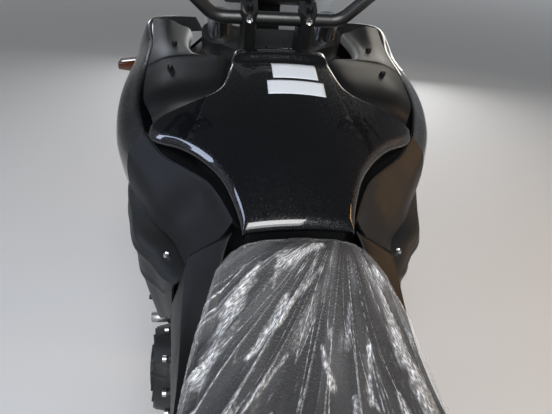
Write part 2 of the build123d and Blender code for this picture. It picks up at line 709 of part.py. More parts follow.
# columns: name, axle x, axle z, pitch radius, teeth, bore, gap to the chain
sprockets = [
    ("front_sprocket", sprocket_x, sprocket_z, front_pitch_radius, 17, 0.0, seat_gap),
    ("rear_sprocket", rear_axle_x, rear_axle_z, rear_pitch_radius, 43, 44.0, 1.5),
]
for name, x, z, pitch_radius, teeth, bore, mesh_gap in sprockets:
    tip = pitch_radius - chain_half - mesh_gap
    with BuildPart() as sprocket:
        with BuildSketch(Plane(origin=(x, chain_y + 3.5, z), x_dir=(1, 0, 0), z_dir=(0, -1, 0))):
            Circle(tip - 5)
            with PolarLocations(tip - 4, teeth):
                Rectangle(8, 5)
            if bore:
                Circle(bore, mode=Mode.SUBTRACT)
                with PolarLocations(0.5 * (tip - 5 + bore) - 6, 5):
                    Circle(13, mode=Mode.SUBTRACT)
        extrude(amount=7)
        if bore:
            with BuildSketch(Plane(origin=(x, hub_half + seat_gap, z), x_dir=(1, 0, 0), z_dir=(0, 1, 0))):
                Circle(bore + 6)
                Circle(axle_radius + 5, mode=Mode.SUBTRACT)
            extrude(amount=chain_y - 3.5 - hub_half - seat_gap)
        else:
            cross_bar(x, z, 14, gearbox_half + seat_gap, chain_y + 14)
    keep(sprocket, name)

with BuildPart() as chain_guard:
    rear_x, guard_in = rear_axle_x, chain_y - chain_half - 4
    guard_out = chain_y + chain_half + 7
    side_plate([(-330, 470), (-330, 474), (rear_x + 20, 458), (rear_x - 70, 436), (rear_x - 70, 432),
                (rear_x + 20, 454)], guard_in, guard_out)
    side_plate([(-330, 440), (-330, 474), (rear_x + 20, 458), (rear_x - 70, 436), (rear_x - 50, 420),
                (rear_x + 200, 430)], guard_out - 3, guard_out)
    side_plate([(rear_x + 160, 372), (rear_x + 160, 452), (rear_x + 130, 452), (rear_x + 130, 368)],
               guard_out - 3, arm_y - 15 - seat_gap)
keep(chain_guard, "chain_guard")

# Rear caliper on the right arm
with BuildPart() as rear_brake_caliper:
    with BuildSketch(Plane(origin=(rear_axle_x, -38, rear_axle_z), x_dir=(1, 0, 0),
                           z_dir=(0, -1, 0))) as body:
        with PolarLocations(106, 1, start_angle=62):
            RectangleRounded(46, 78, 8)
    extrude(to_extrude=body.sketch, amount=arm_y - 15 - seat_gap - 38)
    cross_bar(rear_axle_x, rear_axle_z, 124, -hub_half - seat_gap - 5 - pad_gap,
              -hub_half - seat_gap + pad_gap, Mode.SUBTRACT)
    side_plate([(rear_axle_x + dx, rear_axle_z + dz) for dx, dz in (
        (-26, 0), (-16, -26), (16, -26), (32, 6), (72, 76), (28, 106), (4, 56), (-18, 26))],
        -arm_y + 15 + seat_gap, -arm_y + 27)
    cross_bar(rear_axle_x, rear_axle_z, axle_radius + seat_gap, -200, 0, Mode.SUBTRACT)
keep(rear_brake_caliper, "rear_brake_caliper")


# Storage lid and box
def lid_height(x):
    """Height of the lid's crown line at one x."""
    return 900.0 + 0.62 * x - 0.00072 * x * x


def crown(over, under, reach=230.0):
    """Slab that follows the lid's crown, from one height under it to one over it."""
    sections = []
    # columns: x, drop of the surface at its reach
    for x, drop in ((-4, 62), (100, 92), (200, 72), (336, 46)):
        top = lid_height(x)
        with BuildSketch(Plane.YZ.offset(x)) as section:
            with BuildLine():
                ThreePointArc((-reach, top - drop + over), (0, top + over), (reach, top - drop + over))
                Line((reach, top - drop + over), (reach, top - drop - under))
                ThreePointArc((reach, top - drop - under), (0, top - under), (-reach, top - drop - under))
                Line((-reach, top - drop - under), (-reach, top - drop + over))
            make_face()
        sections.append(section.sketch)
    loft(sections=sections)


# columns: x, half width of the lid in plan
lid_plan = [(lid_front, 77), (240, 92), (214, 108), (205, 140), (216, 186), (204, 208), (180, 196),
            (150, 152), (96, 107), (48, 84), (0, 71)]


def plan_prism(half_plan, shrink, mode):
    """Upright prism over a plan that is the same on both sides, drawn in by a shrink."""
    left = [(x, y) for x, y in half_plan]
    right = [(x, -y) for x, y in reversed(half_plan)]
    with BuildSketch(Plane.XY.offset(500)) as plan:
        with BuildLine():
            Polyline(*left, *right, close=True)
        make_face()
        if shrink:
            offset(amount=-shrink, kind=Kind.INTERSECTION)
    extrude(to_extrude=plan.sketch, amount=800, mode=mode)


with BuildPart() as lid_hollow:
    crown(-lid_wall, lid_skirt + 60)
    plan_prism(lid_plan, lid_wall, Mode.INTERSECT)

with BuildPart() as luggage_lid:
    crown(0, lid_skirt)
    plan_prism(lid_plan, 0, Mode.INTERSECT)
    add(lid_hollow.part, mode=Mode.SUBTRACT)
    for side in (-1, 1):
        low, high = sorted((side * 36, side * 54))
        cross_bar(hinge_x, hinge_z, 6, low, high)
        side_plate([(hinge_x - 6, hinge_z), (hinge_x + 4, hinge_z), (hinge_x + 4, hinge_z + 14),
                    (hinge_x - 6, hinge_z + 14)], low, high)
    cross_bar(hinge_x, hinge_z, hinge_pin_radius + seat_gap, -80, 80, Mode.SUBTRACT)
keep(luggage_lid, "luggage_lid")

lid_gap = 2.0
with BuildPart() as lid_space:
    crown(700, lid_wall + lid_gap)

box_floor = 650.0
# columns: x, half width of the storage box in plan
box_plan = [(296, 62), (228, 84), (198, 100), (186, 132), (150, 132), (92, 96), (46, 76), (12, 62)]
with BuildPart() as luggage_box:
    plan_prism(box_plan, 0, Mode.ADD)
    with BuildSketch(Plane.XY.offset(400)) as under_floor:
        Rectangle(1000, 1000)
    extrude(to_extrude=under_floor.sketch, amount=box_floor - 400, mode=Mode.SUBTRACT)
    with BuildSketch(Plane.XY.offset(box_floor + panel_wall)) as inside:
        with BuildLine():
            Polyline(*[(x, y) for x, y in box_plan], *[(x, -y) for x, y in reversed(box_plan)], close=True)
        make_face()
        offset(amount=-panel_wall, kind=Kind.INTERSECTION)
    extrude(to_extrude=inside.sketch, amount=800, mode=Mode.SUBTRACT)
    add(lid_space.part, mode=Mode.SUBTRACT)
    for side in (-1, 1):
        low, high = sorted((side * 130, side * 143))
        cross_bar(165, 703, 10, low, high)
        for start, end in ((26, 35), (55, 64)):
            low, high = sorted((side * start, side * end))
            side_plate([(hinge_x - 6, hinge_z + 3), (hinge_x + 1.5, hinge_z + 3),
                        (hinge_x + 1.5, hinge_z - 6), (294, 930), (294, 960)], low, high)
            cross_bar(hinge_x, hinge_z, hinge_pin_radius, *sorted((side * 26, side * 64)))
keep(luggage_box, "luggage_box")

# Body panels, each modelled on the left and mirrored to the right
# columns of each station: x, outline points (y, z) from the inner edge outward and down
cowl_stations = [
    (200, [(112, 980), (150, 972), (196, 956), (236, 926)]),
    (262, [(92, 1000), (140, 996), (190, 984), (236, 948)]),
    (330, [(80, 1006), (140, 1004), (184, 998), (232, 976)]),
    (420, [(140, 1004), (168, 1006), (190, 1008), (230, 996)]),
    (530, [(140, 1002), (168, 1010), (196, 1022), (240, 1014)]),
]
# Plan of the seam between inner cowl and wing: x, y
ridge_plan = [(20, 76), (96, 108), (180, 186), (206, 214), (262, 224), (330, 219), (430, 216), (530, 228)]
with BuildPart() as inner_cowls:
    skin(cowl_stations, panel_wall)
    with BuildSketch(Plane.XY.offset(900)) as reach:
        with BuildLine():
            Polyline((214, 118), (224, 112), (246, 98), (332, 84), (345, 140), (400, 160), (530, 158),
                     *reversed(ridge_plan[3:]), (220, 186), (210, 140), close=True)
        make_face()
    extrude(to_extrude=reach.sketch, amount=200, mode=Mode.INTERSECT)
    mirror(about=Plane.XZ)
keep(inner_cowls, "inner_cowls")

wing_stations = [
    (30, [(80, 882), (104, 848), (128, 824), (146, 796)]),
    (92, [(110, 900), (129, 857), (154, 836), (168, 806)]),
    (170, [(176, 900), (190, 886), (216, 862), (218, 822)]),
    (250, [(200, 956), (240, 928), (264, 900), (258, 850)]),
    (330, [(206, 986), (246, 966), (268, 934), (260, 868)]),
    (430, [(204, 1004), (240, 990), (258, 944), (246, 880)]),
    (540, [(214, 1022), (236, 1010), (236, 950), (220, 890)]),
    (640, [(140, 1004), (166, 984), (168, 930), (152, 890)]),
]
with BuildPart() as wings:
    skin(wing_stations, panel_wall, ruled=True)
    trimmed([(30, 884), (30, 812), (92, 800), (160, 812), (250, 846), (330, 866), (460, 884), (560, 900),
             (640, 900), (640, 1012), (560, 1040), (300, 1020), (160, 930)])
    with BuildSketch(Plane.XY.offset(700)) as inner_side:
        with BuildLine():
            Polyline(*[(x, y + seat_gap) for x, y in ridge_plan], (700, 150), (700, 400), (20, 400),
                     close=True)
        make_face()
    extrude(to_extrude=inner_side.sketch, amount=400, mode=Mode.INTERSECT)
    mirror(about=Plane.XZ)
keep(wings, "wings")

fairing_stations = [
    (30, [(138, 786), (166, 762), (164, 700), (150, 640)]),
    (130, [(170, 795), (226, 790), (222, 700), (204, 610)]),
    (230, [(236, 858), (252, 810), (246, 700), (226, 590)]),
    (340, [(244, 864), (254, 820), (242, 720), (214, 620)]),
    (470, [(226, 880), (238, 840), (222, 760), (196, 690)]),
]
with BuildPart() as lower_fairings:
    skin(fairing_stations, panel_wall)
    trimmed([(30, 790), (52, 690), (130, 612), (210, 588), (320, 622), (410, 700), (470, 770),
             (470, 866), (330, 858), (230, 846), (150, 812), (92, 796)])
    cross_bar(150, 690, 10, 164 + frame_tube + seat_gap, 224)
    mirror(about=Plane.XZ)
keep(lower_fairings, "lower_fairings")

cover_stations = [
    (-330, [(112, 774), (134, 768), (136, 735), (126, 700)]),
    (-160, [(118, 772), (150, 766), (156, 715), (148, 660)]),
    (-70, [(102, 782), (148, 776), (162, 725), (150, 648)]),
    (-2, [(98, 834), (146, 806), (166, 735), (150, 642)]),
    (28, [(84, 868), (140, 832), (168, 740), (150, 636)]),
]
with BuildPart() as side_covers:
    skin(cover_stations, panel_wall)
    trimmed([(-330, 800), (-330, 752), (-250, 700), (-120, 652), (28, 640), (28, 880), (-60, 850),
             (-180, 806)])
    mirror(about=Plane.XZ)
keep(side_covers, "side_covers")


def nose_form(shrink, mode=Mode.ADD):
    """Solid nose, drawn in by a shrink; open towards the rider when it is cut out."""
    sections = []
    # columns: x, top half width, top z, middle half width, middle z, bottom half width, bottom z
    for x, top, top_z, middle, middle_z, bottom, bottom_z in (
        (590, 120, 985, 178, 935, 140, 850),
        (640, 98, 972, 146, 920, 104, 815),
        (690, 62, 946, 98, 898, 60, 812),
        (724, 24, 908, 40, 884, 24, 846),
    ):
        with BuildSketch(Plane.YZ.offset(x - shrink)) as section:
            with BuildLine():
                half = [(top - shrink, top_z - shrink), (middle - shrink, middle_z),
                        (bottom - shrink, bottom_z + shrink)]
                Polyline(*half, *[(-y, z) for y, z in reversed(half)], close=True)
            make_face()
        sections.append(section.sketch)
    loft(sections=sections, mode=mode)


lamp_outline = [(644, 846), (652, 902), (690, 926), (760, 900), (760, 846), (690, 822)]
with BuildPart() as nose_cowl:
    nose_form(0)
    nose_form(4, Mode.SUBTRACT)
    side_plate([(500, 700), (660, 700), (655, 800), (606, 905), (585, 905), (500, 905)], -300, 300,
               Mode.SUBTRACT)
    side_plate(lamp_outline, -300, 300, Mode.SUBTRACT)
keep(nose_cowl, "nose_cowl")

with BuildPart() as lamp_core:
    nose_form(14)
with BuildPart() as headlight:
    nose_form(0.2)
    side_plate([(644.4, 846.4), (652.3, 901.7), (690, 925.6), (757, 897), (757, 846.4), (690, 822.4)],
               -300, 300, Mode.INTERSECT)
    add(lamp_core.part, mode=Mode.SUBTRACT)
keep(headlight, "headlight")

# Screen: an upright curved sheet that narrows towards its top
screen_wall = 4.0
with BuildPart() as windscreen:
    sections = []
    # columns: z, front x, side x, half width
    for z, front, side_x, half in ((940, 704, 612, 116), (1150, 616, 540, 146), (1326, 548, 506, 106)):
        with BuildSketch(Plane.XY.offset(z)) as section:
            with BuildLine():
                ThreePointArc((side_x, -half), (front, 0), (side_x, half))
                Line((side_x, half), (side_x - screen_wall, half - 1))
                ThreePointArc((side_x - screen_wall, half - 1), (front - screen_wall, 0),
                              (side_x - screen_wall, 1 - half))
                Line((side_x - screen_wall, 1 - half), (side_x, -half))
            make_face()
        sections.append(section.sketch)
    loft(sections=sections, ruled=True)
    nose_form(-seat_gap, Mode.SUBTRACT)
keep(windscreen, "windscreen")

with BuildPart() as dash:
    with BuildSketch(Plane(origin=(536, 0, 1112), x_dir=(0, 1, 0), z_dir=(-0.78, 0, 0.62))):
        RectangleRounded(190, 104, 16)
    extrude(amount=-34, taper=8)
    side_plate([(548, 1084), (576, 1084), (586, 953.3), (562, 953.3)], -26, 26)
keep(dash, "dash")

# Bracket from the headstock that carries the nose, the screen and the dash
with BuildPart() as nose_bracket:
    for side in (-1, 1):
        bar([steered(head_radius - 4, side * 13, top_clamp_up - 93), (592, side * 17, 945),
             (618, side * 120.4, 948)], 8, bend=16)
    with BuildSketch(steer_plane(lower_clamp_up)):
        Circle(head_radius + seat_gap)
    extrude(amount=top_clamp_up - lower_clamp_up, mode=Mode.SUBTRACT)
keep(nose_bracket, "nose_bracket")


def cushion(stations, name):
    """Closed cushion through stations of x, half width, top z, edge z and base z."""
    sections = []
    for x, half, top, edge, base in stations:
        with BuildSketch(Plane.YZ.offset(x)) as section:
            with BuildLine():
                ThreePointArc((-half, edge), (0, top), (half, edge))
                Line((half, edge), (half - 28, base))
                Line((half - 28, base), (28 - half, base))
                Line((28 - half, base), (-half, edge))
            make_face()
        sections.append(section.sketch)
    with BuildPart() as pad:
        loft(sections=sections)
    keep(pad, name)


# columns: x, half width, top z, edge z, base z
cushion([(-8, 62, 876, 862, 822), (-50, 112, 858, 834, 806), (-180, 146, 832, 806, 784),
         (-320, 150, 842, 808, 782)], "rider_seat")
cushion([(-326, 128, 890, 862, 806), (-480, 122, 904, 874, 812), (-688, 96, 922, 896, 850)],
        "pillion_seat")

tail_stations = [
    (-330, [(104, 796), (138, 792), (146, 764), (130, 738)]),
    (-560, [(92, 806), (124, 802), (132, 782), (116, 756)]),
    (-900, [(40, 868), (72, 864), (80, 850), (64, 824)]),
]
with BuildPart() as tail_cowl:
    skin(tail_stations, panel_wall)
    mirror(about=Plane.XZ)
    with BuildSketch(Plane(origin=(-800, 0, 847), x_dir=(1, 0, -0.18), z_dir=(0.18, 0, 1))):
        Rectangle(216, 170)
    extrude(amount=8)
keep(tail_cowl, "tail_cowl")

with BuildPart() as grab_rail:
    for side in (-1, 1):
        bar([(-476, side * 131, 806), (-500, side * 147, 850), (-620, side * 150, 884),
             (-820, side * 118, 926), (-890, side * 60, 934), (-892, 0, 934)], 11, bend=34)
        bar([(-820, side * 70, 861), (-820, side * 72, 922), (-824, side * 112, 926)], 9, bend=14)
    with BuildSketch(Plane.XY.offset(938)):
        with Locations((-800, 0)):
            RectangleRounded(150, 190, 24)
            with GridLocations(100, 140, 2, 2):
                Circle(3.5, mode=Mode.SUBTRACT)
            with GridLocations(0, 40, 1, 3):
                SlotOverall(104, 18, mode=Mode.SUBTRACT)
    extrude(amount=6)
keep(grab_rail, "grab_rail")

with BuildPart() as tail_light:
    with BuildSketch(Plane(origin=(-906.7, 0, 862), x_dir=(0, 1, 0), z_dir=(-1, 0, 0))):
        RectangleRounded(118, 42, 12)
    extrude(amount=22, taper=12)
keep(tail_light, "tail_light")

# Number plate bracket with its lamp and the two rear indicators
tail_reach = -1105.0
with BuildPart() as plate_bracket:
    side_plate([(-860, 857.4), (-900, 864.6), (-904, 836), (-930, 826), (-1060, 660),
                (tail_reach, 560), (tail_reach + 6, 556), (-1052, 636), (-930, 790), (-880, 800)], -36, 36)
    side_plate([(-1042, 690), (-1048, 690), (tail_reach, 548), (tail_reach + 6, 548)], -95, 95)
    for side in (-1, 1):
        low, high = sorted((side * 34, side * 92))
        cross_bar(-1000, 740, 7, low, high)
        with BuildSketch(Plane(origin=(-1000, side * 90, 740), x_dir=(1, 0, 0), z_dir=(0, side, 0))) as lamp:
            RectangleRounded(46, 30, 13)
        extrude(to_extrude=lamp.sketch, amount=54, taper=8)
keep(plate_bracket, "plate_bracket")

with BuildPart() as front_indicators:
    for side in (-1, 1):
        with BuildSketch(Plane(origin=(540, side * 232.5, 925), x_dir=(1, 0, 0), z_dir=(0, side, 0))) as stem:
            Circle(8)
        extrude(to_extrude=stem.sketch, amount=18)
        with BuildSketch(Plane(origin=(540, side * 248, 925), x_dir=(1, 0, 0), z_dir=(0, side, 0))) as lamp:
            RectangleRounded(50, 30, 13)
        extrude(to_extrude=lamp.sketch, amount=54, taper=8)
keep(front_indicators, "front_indicators")

# Footpegs on brackets, rider's and passenger's
with BuildPart() as footpegs:
    # columns: x, z, inner y, outer y
    for x, z, inner, outer in ((-136, 318, 160, 262), (-330, 468, 150, 250)):
        for side in (-1, 1):
            low, high = sorted((side * inner, side * outer))
            cross_bar(x, z, 11, low, high)
    for side in (-1, 1):
        low, high = sorted((side * (plate_y + plate_thick + 0.3), side * (plate_y + plate_thick + 12)))
        side_plate([(-160, 344), (-96, 344), (-98, 298), (-146, 298)], low, high)
        cross_bar(-136, 318, 14, *sorted((side * (plate_y + plate_thick + 8), side * 168)))
        low, high = sorted((side * 150.6, side * 158))
        side_plate([(-190, 500), (-196, 540), (-240, 560), (-350, 484), (-340, 452)], low, high)
keep(footpegs, "footpegs")

with BuildPart() as foot_controls:
    cross_bar(-108, 322, 8, plate_y + plate_thick + 12.3, 156)
    cross_bar(-108, 322, 8, -156, -plate_y - plate_thick - 12.3)
    bar([(-112, 150, 322), (-48, 196, 318), (62, 200, 316)], 6, bend=12)
    bar([(56, 196, 316), (56, 246, 318)], 9)
    bar([(-112, -150, 322), (-48, -196, 300), (62, -202, 276)], 6, bend=12)
    bar([(56, -196, 277), (56, -250, 279)], 9)
keep(foot_controls, "foot_controls")

# Centre stand, down against its stop
with BuildPart() as centre_stand:
    for side in (-1, 1):
        low, high = sorted((side * (centre_leg_y - 9), side * (centre_leg_y + 9)))
        cross_bar(centre_pivot_x, centre_pivot_z, 19, low, high)
        bar([(centre_pivot_x, side * centre_leg_y, centre_pivot_z - 6),
             (centre_pivot_x + 4, side * (centre_leg_y + 2), centre_pivot_z - 56),
             (centre_pivot_x + 24, side * centre_foot_y, 12)], 12, bend=30)
        with BuildSketch(Plane.XY) as pad:
            with Locations((centre_pivot_x + 24, side * centre_foot_y)):
                RectangleRounded(70, 36, 12)
        extrude(to_extrude=pad.sketch, amount=16)
    bar([(centre_pivot_x + 9, -centre_leg_y - 16, 186), (centre_pivot_x + 9, centre_leg_y + 16, 186)], 10)
    bar([(centre_pivot_x + 20, centre_foot_y, 40), (centre_pivot_x - 24, centre_foot_y + 46, 48),
         (centre_pivot_x - 40, centre_foot_y + 84, 52)], 8, bend=16)
    cross_bar(centre_pivot_x, centre_pivot_z, 6 + seat_gap, -200, 200, Mode.SUBTRACT)
keep(centre_stand, "centre_stand")

with BuildPart() as stand_pins:
    for side in (-1, 1):
        low, high = sorted((side * (centre_leg_y - 18), side * (plate_y + plate_thick + 8)))
        cross_bar(centre_pivot_x, centre_pivot_z, 6, low, high)
        low, high = sorted((side * (centre_leg_y - 20), side * (centre_leg_y - 13)))
        cross_bar(centre_pivot_x, centre_pivot_z, 12, low, high)
keep(stand_pins, "stand_pins")

# Side stand, stowed along the left side
stand_root = Vector(*side_pivot)
stand_axis = Vector(0, -cos(side_tilt), -sin(side_tilt))
with BuildPart() as side_stand:
    with BuildSketch(Plane(origin=stand_root - stand_axis * 10.5, z_dir=stand_axis)) as eye:
        Circle(17)
        Circle(6 + seat_gap, mode=Mode.SUBTRACT)
    extrude(to_extrude=eye.sketch, amount=21)
    bar([stand_root + Vector(-15, 0, 0), stand_root + Vector(-side_length, 0, 0)], 10)
    with BuildSketch(Plane(origin=stand_root + Vector(-side_length, 0, 0), z_dir=(-1, 0, 0))) as pad:
        Rectangle(30, 60)
    extrude(to_extrude=pad.sketch, amount=6)
keep(side_stand, "side_stand")

with BuildPart() as side_stand_bracket:
    with BuildSketch(Plane(origin=stand_root - stand_axis * 22, z_dir=stand_axis)) as pin:
        Circle(6)
    extrude(to_extrude=pin.sketch, amount=40)
    with BuildSketch(Plane(origin=stand_root + stand_axis * 11, z_dir=stand_axis)) as cheek:
        Circle(17)
    extrude(to_extrude=cheek.sketch, amount=12)
    side_plate([(-46, 230), (-78, 230), (-152, 268), (-144, 292), (-60, 262)],
               plate_y + plate_thick + seat_gap, plate_y + 31)
keep(side_stand_bracket, "side_stand_bracket")
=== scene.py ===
"""Adventure touring motorcycle: surfaces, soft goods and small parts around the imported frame."""
import json
import logging
import math
from dataclasses import dataclass, field, replace
from enum import Enum
from typing import Callable, Iterable, Sequence

import bmesh
import bpy
from bpy.types import ID, Material, Mesh, Node, NodeSocket, NodeTree, Object
from mathutils import Matrix, Vector, noise
from mathutils.bvhtree import BVHTree

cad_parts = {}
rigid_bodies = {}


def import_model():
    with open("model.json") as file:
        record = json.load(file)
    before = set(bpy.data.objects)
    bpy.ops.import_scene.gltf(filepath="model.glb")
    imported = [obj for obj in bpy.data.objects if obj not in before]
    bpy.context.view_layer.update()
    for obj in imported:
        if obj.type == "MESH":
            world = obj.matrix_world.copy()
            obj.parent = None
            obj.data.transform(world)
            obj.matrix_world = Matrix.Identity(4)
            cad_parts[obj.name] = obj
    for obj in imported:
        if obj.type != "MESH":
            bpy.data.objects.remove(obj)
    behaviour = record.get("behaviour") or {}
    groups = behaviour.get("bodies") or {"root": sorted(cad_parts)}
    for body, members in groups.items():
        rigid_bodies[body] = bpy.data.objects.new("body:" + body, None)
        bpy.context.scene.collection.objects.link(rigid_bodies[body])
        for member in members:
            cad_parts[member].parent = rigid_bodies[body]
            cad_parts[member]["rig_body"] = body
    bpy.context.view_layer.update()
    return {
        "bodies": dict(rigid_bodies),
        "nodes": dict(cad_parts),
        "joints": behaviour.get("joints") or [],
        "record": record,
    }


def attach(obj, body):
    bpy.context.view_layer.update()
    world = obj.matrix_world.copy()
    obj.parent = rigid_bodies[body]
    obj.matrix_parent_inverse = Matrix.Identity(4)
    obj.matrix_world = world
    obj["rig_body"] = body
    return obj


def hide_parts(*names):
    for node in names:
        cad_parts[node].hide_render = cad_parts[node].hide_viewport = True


LOG = logging.getLogger("motorcycle")
MM = 0.001
# plastics and lacquers; their top coat is nearly smooth
PLASTIC_IOR = 1.5
COAT_ROUGHNESS = 0.03
# uneven patches of a finish, in patterns a metre
BLOTCH_SCALE = 9.0
# corners nearer than this are one, and bends below this are flat, in a copied node
WELD = 0.02 * MM
FLAT_BEND = math.radians(0.6)
Point = tuple[float, float]
Triple = tuple[float, float, float]
BMesh = bmesh.types.BMesh
BMVert = bmesh.types.BMVert


# Number, colour and node helpers


def clamped(value: float) -> float:
    """Keep a value between 0 and 1."""
    return min(1.0, max(0.0, value))


def eased(value: float) -> float:
    """Turn a straight rise from 0 to 1 into a smooth one."""
    return value * value * (3 - 2 * value)


def linear(hex_colour: str, alpha: float = 1.0) -> tuple[float, float, float, float]:
    """Turn an sRGB hex colour to linear values.

    Args:
        hex_colour: Colour as #rrggbb.
        alpha: Fourth value.

    Returns:
        Red, green, blue and alpha.
    """
    parts = []
    for start in (1, 3, 5):
        value = int(hex_colour[start:start + 2], 16) / 255
        parts.append(value / 12.92 if value <= 0.04045 else ((value + 0.055) / 1.055) ** 2.4)
    return (parts[0], parts[1], parts[2], alpha)


def add_node(tree: NodeTree, kind: str, settings: dict | None = None, links: dict | None = None) -> Node:
    """Add a node with its settings and incoming links.

    Args:
        tree: Node tree of the material.
        kind: Blender's node type.
        settings: Attribute names, or socket names starting with "=", to values.
        links: Input socket names or places to output sockets.

    Returns:
        The new node.
    """
    made = tree.nodes.new(kind)
    for name, value in (settings or {}).items():
        if name.startswith("="):
            socket = name[1:]
            made.inputs[int(socket) if socket.isdigit() else socket].default_value = value
        else:
            setattr(made, name, value)
    for name, source in (links or {}).items():
        tree.links.new(source, made.inputs[name])
    return made


def map_range(tree: NodeTree, source: NodeSocket, span: Point, result: Point = (0.0, 1.0)) -> NodeSocket:
    """Bring what lies between two values to a new range.

    Args:
        tree: Node tree of the material.
        source: The values.
        span: Lowest and highest value that is brought over.
        result: What these two become.

    Returns:
        Socket with the new values.
    """
    return add_node(tree, "ShaderNodeMapRange", {
        "=From Min": span[0], "=From Max": span[1], "=To Min": result[0], "=To Max": result[1]},
        {"Value": source}).outputs[0]


def grain(tree: NodeTree, place: NodeSocket, scale: float, detail: float) -> NodeSocket:
    """Grey noise at a scale, from its place."""
    return add_node(tree, "ShaderNodeTexNoise", {"=Scale": scale, "=Detail": detail},
                    {"Vector": place}).outputs["Fac"]


def math_node(tree: NodeTree, operation: str, *values: NodeSocket | float) -> NodeSocket:
    """Result of a sum, product or the like of sockets and numbers."""
    made = add_node(tree, "ShaderNodeMath", {"operation": operation})
    for place, value in enumerate(values):
        if isinstance(value, NodeSocket):
            tree.links.new(value, made.inputs[place])
        else:
            made.inputs[place].default_value = value
    return made.outputs[0]


class Pattern(Enum):
    """How a surface was made, which sets its pattern."""

    FILM = "blown film, creased"
    GRAINED = "moulded with a spark-eroded grain"
    CAST = "die cast"
    SMOOTH = "painted or polished"
    FLAKE = "enamel with flakes under lacquer"
    TURNED = "turned, with rings about an axle"
    HIDE = "grained vinyl"
    HEATED = "stainless tube, coloured by heat"


